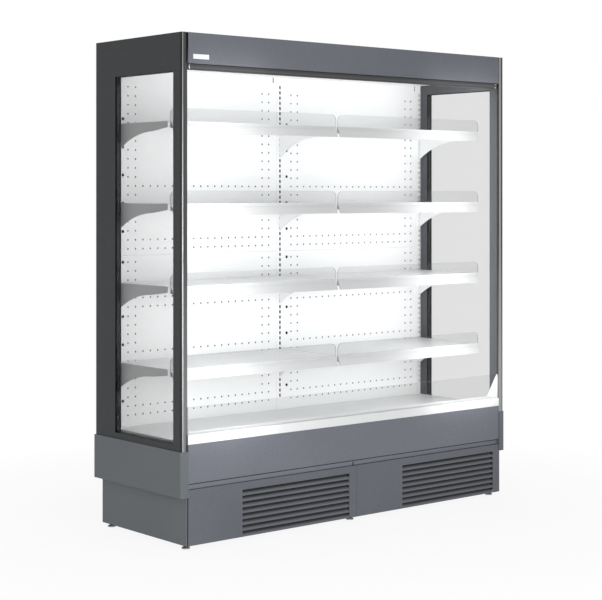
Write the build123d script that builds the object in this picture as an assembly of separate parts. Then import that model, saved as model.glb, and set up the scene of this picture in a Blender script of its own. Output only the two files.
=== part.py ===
from build123d import *
import os

# An open-front refrigerated wall cabinet of two modules, in millimetres.
# X runs along the front to the right, Z is up, and while the pieces are made Y is
# measured back from the front plane of the end panels. Each piece is then moved so
# that the origin lies under the middle of the cabinet's footprint.

# Overall
MODULE = 937.5            # one module, from the centre line to an end panel
HEIGHT = 2150.0
DEPTH = 654.0             # end panel, front to back
END_THICK = 32.0
PANEL_GAP = 0.5           # between sheets that butt
SEAT_GAP = 0.3            # under a piece that only rests in its place
SHAFT_GAP = 0.1           # radial, round a shaft or a screw
PAST = 1.0                # how far a cutter runs past a face

# End panels, their glazing and trim
PROFILE_DEPTH = 14.0      # aluminium front profile
PROFILE_FLAT = 9.0
PROFILE_OUTER_BEVEL = 8.0
PROFILE_OUTER_DROP = 5.0
PROFILE_INNER_DROP = 6.0
WINDOW_FRONT = 62.0
WINDOW_REAR = 154.0       # panel left behind the window
WINDOW_LOW = 437.0
WINDOW_HEAD = 160.0       # panel left above the window
WINDOW_REBATE = 10.0      # glass edge hidden in the panel
PANE = 4.0
PANE_SET_IN = 3.5         # pane face behind the panel's face
SPACER = 9.5              # kept out of sight behind the window's edge
BAND_LOW = 220.0
BAND_TOP = 411.0
BAND_SIDE = 5.0           # band proud of the end panel
BAND_FRONT = 4.0
BAND_BACK = 7.0
BAND_BEVEL = 8.0

# Base
SKIRT_LOW = 19.0          # underside of kick panels and base sides
SIDE_INSET = 24.5         # base side behind the end panel's outer face
SIDE_FRONT = 4.0
SIDE_REAR = 14.0          # base side ahead of the end panel's rear edge
SIDE_LIP = 6.7
SIDE_BACK_LIP = 30.0
SHEET = 1.5               # folded sheet of the casing
FRAME_SHEET = 2.0
BEAM_WIDE = 40.0
BEAM_TALL = 50.0
BEAM_LOW = 26.0
BEAM_FRONT = 28.0
BEAM_REAR = 23.0          # rear beam ahead of the end panel's rear edge
CROSS_INSET = 22.5        # outer cross members and feet, inside the end panels
TUB_LOW = 262.0
RAIL_TALL = 40.0          # top rails under the tub
KICK_BAR = 3.0
KICK_BAR_TALL = 25.0
KICK_BAR_LOW = 190.0
FOOT_RADIUS = 17.5
FOOT_PAD = 5.0
FOOT_CONE = 5.0
FOOT_NECK = 7.8
FOOT_NUT = 8.0
FOOT_NUT_RADIUS = 9.8
FOOT_STEM = 5.0
BOSS_RADIUS = 10.0
BOSS_TALL = 30.0

# Kick panels
KICK_TOP = 251.5
KICK_SHEET = 1.2
KICK_RETURN = 15.0
PIN_RADIUS = 4.0
PIN_NEAR = 70.0           # push-on pins, from the centre line
PIN_END = 77.5            # outer pins, inside the end panels
PIN_REACH = 6.0           # past the wall that the pin enters
LOUVRES = 8
LOUVRE_PITCH = 25.0
LOUVRE_MARGIN = 4.0       # under the lowest louvre
LOUVRE_START = 284.0      # from the panel's left edge to the block
LOUVRE_END = 44.0         # from the block to the panel's right edge
LOUVRE_OPEN = 21.0
LOUVRE_LEAN = 8.0
LOUVRE_SILL = 1.8

# Front panel and recess
FRONT_LOW = 277.0
FRONT_TOP = 440.0
RECESS = 10.8

# Insulated body
TUB_FRONT = 12.0
TUB_FLOOR = 30.0          # floor and front wall thickness
REAR_WALL = 45.0
ROOF_THICK = 40.0
ROOF_FRONT = 64.0

# Front rail, glass and base decks
RAIL_RISE = 38.0          # front rail above the front panel
GRILLE_BACK = 76.0
GRILLE_RISE = 1.5         # slope of the grille, front to back
GRILLE_PITCH = 12.5
GRILLE_SLOT = 5.0
GRILLE_SLOT_FRONT = 14.0
GRILLE_MARGIN = 24.0      # behind the slots
LEDGE = 16.0
LEDGE_DROP = 14.5         # ledge under the front panel's top
GLASS = 6.0
GLASS_SLOT = 7.0
GLASS_TALL = 152.2
GLASS_BRACKET = 3.0
GLASS_BRACKET_TIP = 5.0
DECK_TALL = 20.2
DECK_SHEET = 1.2
DECK_GAP = 2.5            # before and behind a base deck
DECK_END = 3.0            # between a base deck and the end panel
DECK_FOLD = 14.0          # end of a base deck, folded down

# Rear lining: uprights and perforated back panels
UPRIGHT_DEEP = 59.0
UPRIGHT_WIDE = 40.0
END_UPRIGHT_WIDE = 23.0
LINING_LAP = 6.5          # lining above the ceiling's underside
PANEL_SHEET = 1.0
PANEL_BEHIND = 1.0        # back panels behind the uprights' faces
UPPER_TALL = 839.0        # upper panel, from the seam to its top
SLOT_PITCH = 25.0
SLOT_TALL = 15.0
SLOT_WIDE = 9.0
SLOT_FOOT = 68.0          # lowest slot above the base deck
SLOT_HEAD = 50.0          # least length above the top slot
SLOT_INSET = 8.5          # slot column of an end upright, inside the end panel
HOLE_RADIUS = 4.0
HOLE_PITCH = 40.0
HOLE_SIDE = 120.0         # width of a module kept clear of the grid
HOLE_MARGIN = 12.0        # least height under the lowest row
EDGE_COLUMNS = 2          # columns each side that run the full height
UPPER_HEAD = 90.0         # top row under the panel's top
UPPER_FULL = (11, 17, 18)
LOWER_HEAD = 29.5
LOWER_FULL = (4, 5, 10, 16, 17)
SOCKET_RADIUS = 7.0
SOCKET_PITCH = 125.0
SOCKET_ASIDE = 27.0
SOCKET_ABOVE = 106.6      # first socket above the seam
SOCKET_BELOW = 145.0      # first socket under the seam
SOCKETS = 5
MARK_ASIDE = 41.0
MARK_HEAD = 35.0
MARK_TALL = 25.0
MARK_WIDE = 5.0

# Shelves
SHELF_ROWS = 4
LOWEST_SLOT = 8           # slot of the lowest shelf's hooks, counted up
SLOTS_ABOVE = 10          # slots from the top shelf's hooks upward
HOOK_DROP = 24.0          # slot centre under the deck
LUG_PITCHES = 3           # slots from the hook to the lug
LUG_REACH = 4.0
HOOK_GAP = 2.4            # between the two brackets in the centre slot
BRACKET_SHEET = 2.5
BRACKET_SETBACK = 14.0    # bracket's nose behind the deck's front
BRACKET_NOSE = 26.0       # height at the nose
BRACKET_STRAIGHT = 112.0  # lower edge from the nose to the curve
BRACKET_WAIST = 41.0      # height where the curve starts
BRACKET_HEEL = 131.0
BRACKET_BACK_GAP = 0.6
BRACKET_LEAN = 8.5        # rear edge above the hook, so that the shelf can tip
BRACKET_FLANGE = 15.0
FLANGE_END = 12.0
HOOK_TALL = 8.0
HOOK_REACH = 9.5          # behind the upright's rear face
HOOK_CLEAR = 1.5
HOOK_DIP = 9.0
HOOK_NOSE = 3.5           # width of the part that hangs down
HOOK_CORNER = 4.0
HOOK_ROOT = 5.0           # hook and lug begin this far inside the plate
SHELF_DEEP = 396.0
SHELF_BACK_GAP = 10.0     # between the deck and the uprights
SHELF_FOLD = 30.0
SHELF_BACK_FOLD = 20.0
RAIL_SHEET = 1.0
RAIL_INSET = 6.0
RAIL_REACH = 10.0         # trough in front of the deck
RAIL_DROP = 12.0
RAIL_LIP = 7.0
TICKET_TALL = 36.0
TICKET_LEAN = 10.8
TICKET_GAP = 4.4
TICKET_STEP = 4.0
WEB_TALL = 30.0
STOP_SHEET = 2.5
STOP_INSET = 4.0
STOP_TOP = 56.0
STOP_CORNER = 30.0
STOP_END = 5.3            # between a stop and the end panel

# Canopy: fascia, ceiling, lamp and night blind
FASCIA_TALL = 128.0
FASCIA_RETURN = 8.0
DUCT_TALL = 71.5          # from the ceiling's underside to the roof
OUTLET_LIP = 6.0          # ceiling left before the outlet
OUTLET_DEEP = 56.0
OUTLET_END = 14.0         # ceiling left beside the outlet
COMB_TALL = 14.0
COMB_CELL = 16.0
COMB_PITCH = 20.0
COMB_ROWS = 2
COMB_WALL = 4.0
LAMP_WIDE = 28.0
LAMP_TALL = 20.0
LAMP_LENS = 6.0
LENS_INSET = 2.0
LAMP_END = 40.0
LAMP_DROP = 8.5           # housing under the ceiling
ROLLER_Y = 40.0
ROLLER_RISE = 56.0        # roller's axis above the fascia's lower edge
ROLLER_RADIUS = 16.0
WOUND = 4.0               # blind wound on its roller
ROLLER_END = 8.0
ROLLER_PIN = 5.0
BLIND_BRACKET = 3.0
BLIND_BRACKET_LAP = 2.0
BLIND_CLOTH = 0.6
BLIND_END = 12.0
BAR_DEEP = 20.0
BAR_TALL = 26.5
BAR_END = 4.0
BAR_EDGE = 3.0
BAR_GROOVE = 6.0

# Refrigeration
FAN_AHEAD = 82.0          # fan plate ahead of the coil
FAN_PLATE_FOLD = 30.0
FAN_RISE = 80.0           # fan axis above the tub's floor
FAN_HOLE = 60.0
FAN_RING = 24.0
RING_WALL = 2.0
FAN_TIP_GAP = 3.0
HUB_RADIUS = 16.0
HUB_LONG = 16.0
BLADES = 5
BLADE_SHEET = 2.0
BLADE_WIDE = 24.0
BLADE_PITCH = 32.0        # degrees
BLADE_ROOT = 3.0          # blade begins this far inside the hub
SHAFT_RADIUS = 3.0
MOTOR_RADIUS = 26.0
MOTOR_LONG = 38.0
MOTOR_BAR = 3.0
MOTOR_BAR_WIDE = 16.0
COIL_END = 57.5           # coil inside the end panels
COIL_DEEP = 190.0
COIL_REAR = 109.0         # coil ahead of the rear wall
COIL_TALL = 120.0
COIL_LIFT = 8.0
COIL_PLATE_LAP = 5.0
FIN = 1.0
FIN_PLATE = 2.0
COIL_PITCH = 20.0
CONDENSER_PITCH = 12.0
CONDENSER_APART = 270.0   # condenser's middle from the compressor's
CONDENSER_WIDE = 300.0
CONDENSER_TALL = 150.0
CONDENSER_FRONT = 92.0
CONDENSER_DEEP = 48.0
CONDENSER_FAN_HOLE = 66.0
COMPRESSOR_END = 177.5    # compressor's middle inside the left end panel
COMPRESSOR_AHEAD = 125.0  # compressor's middle ahead of the risers
COMPRESSOR_RADIUS = 75.0
COMPRESSOR_TALL = 140.0
CAN_EDGE = 33.75
FOOT_PLATE = 3.0
FOOT_PLATE_LAP = 15.0
TERMINAL_WIDE = 60.0      # terminal cover on the can
TERMINAL_OUT = 25.0
TERMINAL_LOW = 40.0
TERMINAL_TALL = 50.0
GROMMET = 12.0
GROMMET_INSET = 14.0
PIPE_RADIUS = 5.0
PIPE_BEND = 14.0
PIPE_HIGH = 90.0          # above the bay's floor
PIPE_LOW = 30.0
LIQUID_APART = 190.0      # liquid riser from the condenser's middle
RISER_GAP = 25.0          # risers behind the coil
DRAIN_X = 300.0
DRAIN_REAR = 189.0        # drain ahead of the rear wall
DRAIN_RADIUS = 16.0
DRAIN_BORE = 13.0
DRAIN_GAP = 10.0          # above the tray
TRAY_WIDE = 400.0
TRAY_DEEP = 300.0
TRAY_TALL = 60.0
BOX_END = 247.5           # control box's middle inside the right end panel
BOX_Y = 145.0
BOX_WIDE = 180.0
BOX_DEEP = 110.0
BOX_TALL = 140.0
BOX_LID = 3.0
BOX_LID_LAP = 2.0
GLAND_APART = 60.0
GLAND_RADIUS = 9.0
GLAND_TALL = 12.0

# Worked out from the sizes above: the casing
OUTER = MODULE + END_THICK
BAND_OUTER = OUTER + BAND_SIDE
MIDDLE = (DEPTH + BAND_BACK - BAND_FRONT) / 2
WINDOW_BACK = DEPTH - WINDOW_REAR
WINDOW_TOP = HEIGHT - WINDOW_HEAD
SIDE_X = OUTER - SIDE_INSET
SIDE_BACK = DEPTH - SIDE_REAR
BEAM_BACK = DEPTH - BEAM_REAR
BEAM_TOP = BEAM_LOW + BEAM_TALL
CROSS_X = MODULE - CROSS_INSET
PIN_FAR = MODULE - PIN_END
LOUVRE_LOW = SKIRT_LOW + LOUVRE_MARGIN
FLOOR_TOP = BEAM_TOP + SHEET
RECESS_LOW = KICK_TOP + PANEL_GAP
TUB_TOP = TUB_LOW + TUB_FLOOR
WALL_FRONT = DEPTH - REAR_WALL
ROOF_LOW = HEIGHT - ROOF_THICK
FOOT_YS = (BEAM_FRONT + BEAM_WIDE / 2, BEAM_BACK - BEAM_WIDE / 2)

# The front rail, the lining and the shelves
RAIL_TOP = FRONT_TOP + RAIL_RISE
GRILLE_BACK_TOP = RAIL_TOP + GRILLE_RISE
LEDGE_TOP = FRONT_TOP - LEDGE_DROP
GLASS_TOP = FRONT_TOP + SHEET + SEAT_GAP + GLASS_TALL
UPRIGHT_FACE = WALL_FRONT - UPRIGHT_DEEP
PANEL_FACE = UPRIGHT_FACE + PANEL_BEHIND
DECK_TOP = LEDGE_TOP + SEAT_GAP + DECK_TALL
DECK_FRONT = GRILLE_BACK + DECK_GAP
DECK_BACK = UPRIGHT_FACE - DECK_GAP
CEILING_LOW = ROOF_LOW - DUCT_TALL
LINING_TOP = CEILING_LOW + LINING_LAP
PANEL_SEAM = LINING_TOP - UPPER_TALL
SLOT_LOW = DECK_TOP + SLOT_FOOT
SLOTS = int((LINING_TOP - SLOT_LOW - SLOT_HEAD) / SLOT_PITCH) + 1
SLOT_END = MODULE - SLOT_INSET
HOLE_COLUMNS = int((MODULE - HOLE_SIDE) / HOLE_PITCH) + 1
SHELF_STEP = (SLOTS - LOWEST_SLOT - SLOTS_ABOVE) // (SHELF_ROWS - 1)
SHELF_START = HOOK_GAP / 2
SHELF_END = SLOT_END + BRACKET_SHEET / 2
SHELF_BACK = UPRIGHT_FACE - SHELF_BACK_GAP
SHELF_FRONT = SHELF_BACK - SHELF_DEEP
BRACKET_FRONT = SHELF_FRONT + BRACKET_SETBACK
BRACKET_CURVE = BRACKET_FRONT + BRACKET_STRAIGHT

# The canopy
FASCIA_LOW = HEIGHT - FASCIA_TALL
OUTLET_FRONT = ROOF_FRONT + OUTLET_LIP
OUTLET_BACK = OUTLET_FRONT + OUTLET_DEEP
LAMP_LOW = CEILING_LOW - LAMP_DROP
ROLLER_Z = FASCIA_LOW + ROLLER_RISE
BLIND_Y = ROLLER_Y - ROLLER_RADIUS - WOUND - SHAFT_GAP - BLIND_CLOTH / 2
BAR_LOW = FASCIA_LOW - PANEL_GAP - BAR_TALL

# The refrigeration
COIL_HALF = MODULE - COIL_END
COIL_BACK = WALL_FRONT - COIL_REAR
COIL_FRONT = COIL_BACK - COIL_DEEP
FAN_PLATE_Y = COIL_FRONT - FAN_AHEAD
FAN_Z = TUB_TOP + FAN_RISE
RISER_Y = COIL_BACK + RISER_GAP
COMPRESSOR_X = COMPRESSOR_END - MODULE
COMPRESSOR_Y = RISER_Y - COMPRESSOR_AHEAD
CONDENSER_X = COMPRESSOR_X + CONDENSER_APART
LIQUID_X = CONDENSER_X + LIQUID_APART
DRAIN_Y = WALL_FRONT - DRAIN_REAR
BOX_X = MODULE - BOX_END


def block(x0, x1, y0, y1, z0, z1):
    """A box between two corners."""
    centre = Pos((x0 + x1) / 2, (y0 + y1) / 2, (z0 + z1) / 2)
    return centre * Box(x1 - x0, y1 - y0, z1 - z0)


def along_x(points, start, end):
    """A straight length along X of a (y, z) outline."""
    face = make_face(Polyline(*[(start, y, z) for y, z in points], close=True))
    return extrude(face, amount=end - start, dir=(1, 0, 0))


def along_y(points, start, end):
    """A straight length along Y of an (x, z) outline."""
    face = make_face(Polyline(*[(x, start, z) for x, z in points], close=True))
    return extrude(face, amount=end - start, dir=(0, 1, 0))


def along_z(points, start, end):
    """A straight length along Z of an (x, y) outline."""
    face = make_face(Polyline(*[(x, y, start) for x, y in points], close=True))
    return extrude(face, amount=end - start, dir=(0, 0, 1))


def folded(line, sheet):
    """The outline of a folded sheet: one face, then the other, to its right."""
    steps = [Vector(b[0] - a[0], b[1] - a[1]).normalized() for a, b in zip(line, line[1:])]
    sides = [Vector(step.Y, -step.X) for step in steps]
    far = []
    for i, (u, v) in enumerate(line):
        before = sides[max(i - 1, 0)]
        after = sides[min(i, len(sides) - 1)]
        shift = (before + after) * (sheet / (1 + before.dot(after)))
        far.append((u + shift.X, v + shift.Y))
    return list(line) + far[::-1]


def rod_y(x, z, radius, start, end):
    """A round bar along Y."""
    return Pos(x, (start + end) / 2, z) * Rot(90, 0, 0) * Cylinder(radius, end - start)


def rod_z(x, y, radius, start, end):
    """A round bar along Z."""
    return Pos(x, y, (start + end) / 2) * Cylinder(radius, end - start)


def rod_x(y, z, radius, start, end):
    """A round bar along X."""
    return Pos((start + end) / 2, y, z) * Rot(0, 90, 0) * Cylinder(radius, end - start)


def both_sides(solid):
    """A piece of the right side with its mirror image on the left."""
    return [mirror(solid, about=Plane.YZ), solid]


def save(name, *pieces):
    """Write one node, moved so that the origin is under the middle of the footprint."""
    solids = [Pos(0, -MIDDLE, 0) * s for piece in pieces for s in piece.solids()]
    shape = solids[0] if len(solids) == 1 else Compound(children=solids)
    export_step(shape, "parts/" + name + ".step")


# Levelling foot: pad, hexagon and threaded stem turned from one piece
def levelling_foot(x, y):
    cone_top = FOOT_PAD + FOOT_CONE
    nut_top = cone_top + FOOT_NUT
    foot = rod_z(x, y, FOOT_RADIUS, 0, FOOT_PAD)
    cone = Cone(FOOT_RADIUS, FOOT_NECK, FOOT_CONE)
    foot += Pos(x, y, FOOT_PAD + FOOT_CONE / 2) * cone
    nut = extrude(RegularPolygon(FOOT_NUT_RADIUS, 6), amount=FOOT_NUT)
    foot += Pos(x, y, cone_top) * nut
    return foot + rod_z(x, y, FOOT_STEM, nut_top, BEAM_LOW + BOSS_TALL)


# Base frame: two folded beams, three cross members with posts and top rails,
# a floor sheet in each bay and the bar that the kick panels push on to
def beam(y, wall):
    """One beam with a threaded boss over each foot; its open side faces the middle."""
    away = y + (BEAM_WIDE if y == BEAM_FRONT else -BEAM_WIDE)
    line = [(away, BEAM_LOW), (y, BEAM_LOW), (y, BEAM_TOP), (away, BEAM_TOP)]
    if y != BEAM_FRONT:
        line = line[::-1]
    end = SIDE_X - SHEET
    solid = along_x(folded(line, FRAME_SHEET), -end, end)
    foot_y = (y + away) / 2
    for x in (-CROSS_X, 0, CROSS_X):
        solid += rod_z(x, foot_y, BOSS_RADIUS, BEAM_LOW, BEAM_LOW + BOSS_TALL)
        bore = FOOT_STEM + SHAFT_GAP
        solid -= rod_z(x, foot_y, bore, BEAM_LOW - PAST, BEAM_LOW + BOSS_TALL + PAST)
    if wall:
        low_z = BEAM_LOW + BEAM_TALL / 2
        solid -= [kick_hole(x, low_z) for x in pin_places()]
    return solid


def pin_places():
    return (-PIN_FAR, -PIN_NEAR, PIN_NEAR, PIN_FAR)


def kick_hole(x, z):
    return rod_y(x, z, PIN_RADIUS + SHAFT_GAP, 0, BEAM_FRONT + BEAM_WIDE / 2)


def base_frame():
    half = BEAM_WIDE / 2
    inner_front = BEAM_FRONT + BEAM_WIDE
    inner_back = BEAM_BACK - BEAM_WIDE
    rail_low = TUB_LOW - RAIL_TALL
    pieces = [beam(BEAM_FRONT, True), beam(BEAM_BACK, False)]
    for x in (-CROSS_X, 0, CROSS_X):
        low = [(x - half, BEAM_LOW), (x - half, BEAM_TOP), (x + half, BEAM_TOP), (x + half, BEAM_LOW)]
        pieces.append(along_y(folded(low, FRAME_SHEET), inner_front, inner_back))
        top = [(x - half, rail_low), (x - half, TUB_LOW), (x + half, TUB_LOW), (x + half, rail_low)]
        pieces.append(along_y(folded(top, FRAME_SHEET), BEAM_FRONT, BEAM_BACK))
        front = [(x + half, inner_front), (x + half, BEAM_FRONT),
                 (x - half, BEAM_FRONT), (x - half, inner_front)]
        pieces.append(along_z(folded(front, FRAME_SHEET), BEAM_TOP, rail_low))
        back = [(x - half, inner_back), (x - half, BEAM_BACK),
                (x + half, BEAM_BACK), (x + half, inner_back)]
        pieces.append(along_z(folded(back, FRAME_SHEET), BEAM_TOP, rail_low))
    end = CROSS_X + half
    for x0, x1 in ((-end, -PANEL_GAP), (PANEL_GAP, end)):
        pieces.append(block(x0, x1, inner_front + FRAME_SHEET, inner_back - FRAME_SHEET,
                            BEAM_TOP, FLOOR_TOP))
    bar = block(-end, end, BEAM_FRONT - KICK_BAR, BEAM_FRONT,
                KICK_BAR_LOW, KICK_BAR_LOW + KICK_BAR_TALL)
    bar_z = KICK_BAR_LOW + KICK_BAR_TALL / 2
    pieces.append(bar - [kick_hole(x, bar_z) for x in pin_places()])
    return pieces


# Base side: folded sheet from the beams up to the end panel
def base_side():
    line = [(SIDE_X - SIDE_BACK_LIP, SIDE_BACK), (SIDE_X, SIDE_BACK),
            (SIDE_X, SIDE_FRONT), (SIDE_X - SIDE_LIP, SIDE_FRONT)]
    return along_z(folded(line, SHEET), SKIRT_LOW, BAND_LOW)


# Kick panel: folded sheet with pressed louvres and four push-on pins behind
def kick_panel(side):
    """side is -1 for the left panel and 1 for the right one."""
    x0, x1 = (PANEL_GAP, MODULE - PANEL_GAP) if side > 0 else (PANEL_GAP - MODULE, -PANEL_GAP)
    line = [(KICK_RETURN, SKIRT_LOW), (0, SKIRT_LOW), (0, KICK_TOP), (KICK_RETURN, KICK_TOP)]
    panel = along_x(folded(line, KICK_SHEET), x0, x1)
    for x in (x0, x1 - KICK_SHEET):
        panel += block(x, x + KICK_SHEET, 0, KICK_RETURN, SKIRT_LOW, KICK_TOP)
    left = x0 + LOUVRE_START
    right = x1 - LOUVRE_END
    for i in range(LOUVRES):
        z = LOUVRE_LOW + i * LOUVRE_PITCH
        panel -= block(left, right, -PAST, KICK_SHEET + PAST, z, z + LOUVRE_OPEN)
        blade = [(0, z), (LOUVRE_LEAN, z + LOUVRE_OPEN - KICK_SHEET)]
        panel += along_x(folded(blade, KICK_SHEET), left, right)
        panel += block(left, right, 0, LOUVRE_SILL, z - KICK_SHEET, z)
    bar_z = KICK_BAR_LOW + KICK_BAR_TALL / 2
    low_z = BEAM_LOW + BEAM_TALL / 2
    for x in [x for x in pin_places() if x0 < x < x1]:
        panel += rod_y(x, bar_z, PIN_RADIUS, KICK_SHEET / 2, BEAM_FRONT - KICK_BAR + PIN_REACH)
        panel += rod_y(x, low_z, PIN_RADIUS, KICK_SHEET / 2, BEAM_FRONT + PIN_REACH)
    return panel


# Insulated body
def pipe_holes():
    """Cutters for the pipes and the drain through the tub's floor."""
    z0, z1 = TUB_LOW - PAST, TUB_TOP + PAST
    return [rod_z(COMPRESSOR_X, RISER_Y, PIPE_RADIUS + SEAT_GAP, z0, z1),
            rod_z(LIQUID_X, RISER_Y, PIPE_RADIUS + SEAT_GAP, z0, z1),
            rod_z(DRAIN_X, DRAIN_Y, DRAIN_RADIUS + SHAFT_GAP, z0, z1)]


def tub():
    inner = TUB_FRONT + TUB_FLOOR
    outline = [(TUB_FRONT, TUB_LOW), (WALL_FRONT, TUB_LOW), (WALL_FRONT, TUB_TOP),
               (inner, TUB_TOP), (inner, FRONT_TOP), (TUB_FRONT, FRONT_TOP)]
    return along_x(outline, -MODULE, MODULE) - pipe_holes()


def rear_wall():
    return block(-MODULE, MODULE, WALL_FRONT, DEPTH, TUB_LOW, ROOF_LOW)


def roof():
    return block(-MODULE, MODULE, ROOF_FRONT, DEPTH, ROOF_LOW, HEIGHT)


# End panels with their double glazing
def end_panel():
    """The right-hand panel."""
    panel = block(MODULE, OUTER, PROFILE_DEPTH, DEPTH, BAND_LOW, HEIGHT)
    panel -= block(MODULE - PAST, OUTER + PAST, WINDOW_FRONT, WINDOW_BACK, WINDOW_LOW, WINDOW_TOP)
    reach = WINDOW_REBATE
    return panel - block(MODULE + PANE_SET_IN, OUTER - PANE_SET_IN,
                         WINDOW_FRONT - reach, WINDOW_BACK + reach,
                         WINDOW_LOW - reach, WINDOW_TOP + reach)


def end_glazing():
    """Two panes and the spacer between them, for the right-hand panel."""
    reach = WINDOW_REBATE - SEAT_GAP
    y0, y1 = WINDOW_FRONT - reach, WINDOW_BACK + reach
    z0, z1 = WINDOW_LOW - reach, WINDOW_TOP + reach
    inner = MODULE + PANE_SET_IN + SEAT_GAP
    outer = OUTER - PANE_SET_IN - SEAT_GAP
    spacer = block(inner + PANE, outer - PANE, y0, y1, z0, z1)
    spacer -= block(inner, outer, y0 + SPACER, y1 - SPACER, z0 + SPACER, z1 - SPACER)
    return [block(inner, inner + PANE, y0, y1, z0, z1),
            block(outer - PANE, outer, y0, y1, z0, z1), spacer]


def front_profile():
    """Bevelled aluminium extrusion on the right panel's front edge."""
    bevel = END_THICK - PROFILE_FLAT - PROFILE_OUTER_BEVEL
    outline = [(MODULE, PROFILE_DEPTH), (MODULE, PROFILE_INNER_DROP), (MODULE + bevel, 0),
               (MODULE + bevel + PROFILE_FLAT, 0), (OUTER, PROFILE_OUTER_DROP),
               (OUTER, PROFILE_DEPTH)]
    return along_z(outline, BAND_TOP, HEIGHT)


def side_band():
    """Bumper band round the foot of the right panel."""
    outline = [(MODULE, -BAND_FRONT), (BAND_OUTER - BAND_BEVEL, -BAND_FRONT),
               (BAND_OUTER, BAND_BEVEL - BAND_FRONT), (BAND_OUTER, DEPTH + BAND_BACK),
               (MODULE, DEPTH + BAND_BACK), (MODULE, DEPTH), (OUTER, DEPTH),
               (OUTER, PROFILE_DEPTH), (MODULE, PROFILE_DEPTH)]
    return along_z(outline, BAND_LOW, BAND_TOP)


# Front panel with the recess below it
def front_panel():
    line = [(RECESS, RECESS_LOW), (RECESS, FRONT_LOW), (0, FRONT_LOW), (0, FRONT_TOP),
            (TUB_FRONT, FRONT_TOP)]
    end = MODULE - PANEL_GAP
    return along_x(folded(line, TUB_FRONT - RECESS), -end, end)


# Front rail with the return air grille, the front glass and its brackets
def front_rail():
    pocket = SHEET + GLASS_SLOT
    pocket_wall = [(pocket, FRONT_TOP), (pocket, RAIL_TOP), (GRILLE_BACK, GRILLE_BACK_TOP),
                   (GRILLE_BACK, LEDGE_TOP), (GRILLE_BACK + LEDGE, LEDGE_TOP)]
    front_wall = [(pocket, FRONT_TOP), (0, FRONT_TOP), (0, RAIL_TOP)]
    end = MODULE - PANEL_GAP
    rail = along_x(folded(pocket_wall, SHEET), -end, end)
    rail += along_x(folded(front_wall, SHEET), -end, end)
    slots = int((2 * end - GRILLE_PITCH) / GRILLE_PITCH)
    first = -(slots - 1) * GRILLE_PITCH / 2
    over = max(RAIL_TOP, GRILLE_BACK_TOP) + PAST
    cuts = []
    for i in range(slots):
        x = first + i * GRILLE_PITCH
        cuts.append(block(x - GRILLE_SLOT / 2, x + GRILLE_SLOT / 2, GRILLE_SLOT_FRONT,
                          GRILLE_BACK - GRILLE_MARGIN, LEDGE_TOP + PAST, over))
    return rail - cuts


def front_glass():
    end = MODULE - 2 * PANEL_GAP
    y0 = SHEET + (GLASS_SLOT - GLASS) / 2
    return block(-end, end, y0, y0 + GLASS, FRONT_TOP + SHEET + SEAT_GAP, GLASS_TOP)


def glass_bracket():
    """Triangular end plate behind the glass, on the right."""
    front = SHEET + GLASS_SLOT
    slope = GRILLE_RISE / (GRILLE_BACK - front)
    low_back = GRILLE_BACK_TOP + slope * PAST + SEAT_GAP
    outline = [(front, RAIL_TOP + SEAT_GAP), (front, GLASS_TOP),
               (front + GLASS_BRACKET_TIP, GLASS_TOP), (GRILLE_BACK + PAST, low_back)]
    return along_x(outline, MODULE - GLASS_BRACKET, MODULE)


def base_deck(side):
    line = [(DECK_FRONT, LEDGE_TOP + SEAT_GAP), (DECK_FRONT, DECK_TOP),
            (DECK_BACK, DECK_TOP), (DECK_BACK, LEDGE_TOP + SEAT_GAP)]
    end = MODULE - DECK_END
    deck = along_x(folded(line, DECK_SHEET), PANEL_GAP, end)
    deck += block(end - DECK_SHEET, end, DECK_FRONT, DECK_BACK, DECK_TOP - DECK_FOLD, DECK_TOP)
    return deck if side > 0 else mirror(deck, about=Plane.YZ)


# Rear lining
def slot_cuts(x):
    cuts = []
    for i in range(SLOTS):
        z = SLOT_LOW + i * SLOT_PITCH
        cuts.append(block(x - SLOT_WIDE / 2, x + SLOT_WIDE / 2, UPRIGHT_FACE - PAST,
                          UPRIGHT_FACE + SHEET + PAST, z - SLOT_TALL / 2, z + SLOT_TALL / 2))
    return cuts


def upright(x0, x1, slot_x):
    """A slotted channel that stands on the tub's floor against the rear wall."""
    line = [(x1, WALL_FRONT), (x1, UPRIGHT_FACE), (x0, UPRIGHT_FACE), (x0, WALL_FRONT)]
    return along_z(folded(line, SHEET), TUB_TOP, LINING_TOP) - slot_cuts(slot_x)


def uprights():
    end = MODULE - SEAT_GAP
    outer = upright(end - END_UPRIGHT_WIDE, end, SLOT_END)
    return both_sides(outer) + [upright(-UPRIGHT_WIDE / 2, UPRIGHT_WIDE / 2, 0)]


def panel_holes(middle, first, low, full):
    """Cutters for one panel's grid: edge columns all the way, and the full rows."""
    half = (HOLE_COLUMNS - 1) / 2
    rows = int((first - low - HOLE_MARGIN) / HOLE_PITCH) + 1
    cuts = []
    for row in range(rows):
        for column in range(HOLE_COLUMNS):
            edge = column < EDGE_COLUMNS or column >= HOLE_COLUMNS - EDGE_COLUMNS
            if edge or row in full:
                x = middle + (column - half) * HOLE_PITCH
                z = first - row * HOLE_PITCH
                cuts.append(panel_hole(x, z, HOLE_RADIUS))
    return cuts


def panel_hole(x, z, radius):
    return rod_y(x, z, radius, PANEL_FACE - PAST, PANEL_FACE + PANEL_SHEET + PAST)


def socket_holes(middle, heights):
    x = middle - (HOLE_COLUMNS - 1) / 2 * HOLE_PITCH - SOCKET_ASIDE
    return [panel_hole(x, z, SOCKET_RADIUS) for z in heights]


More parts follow.
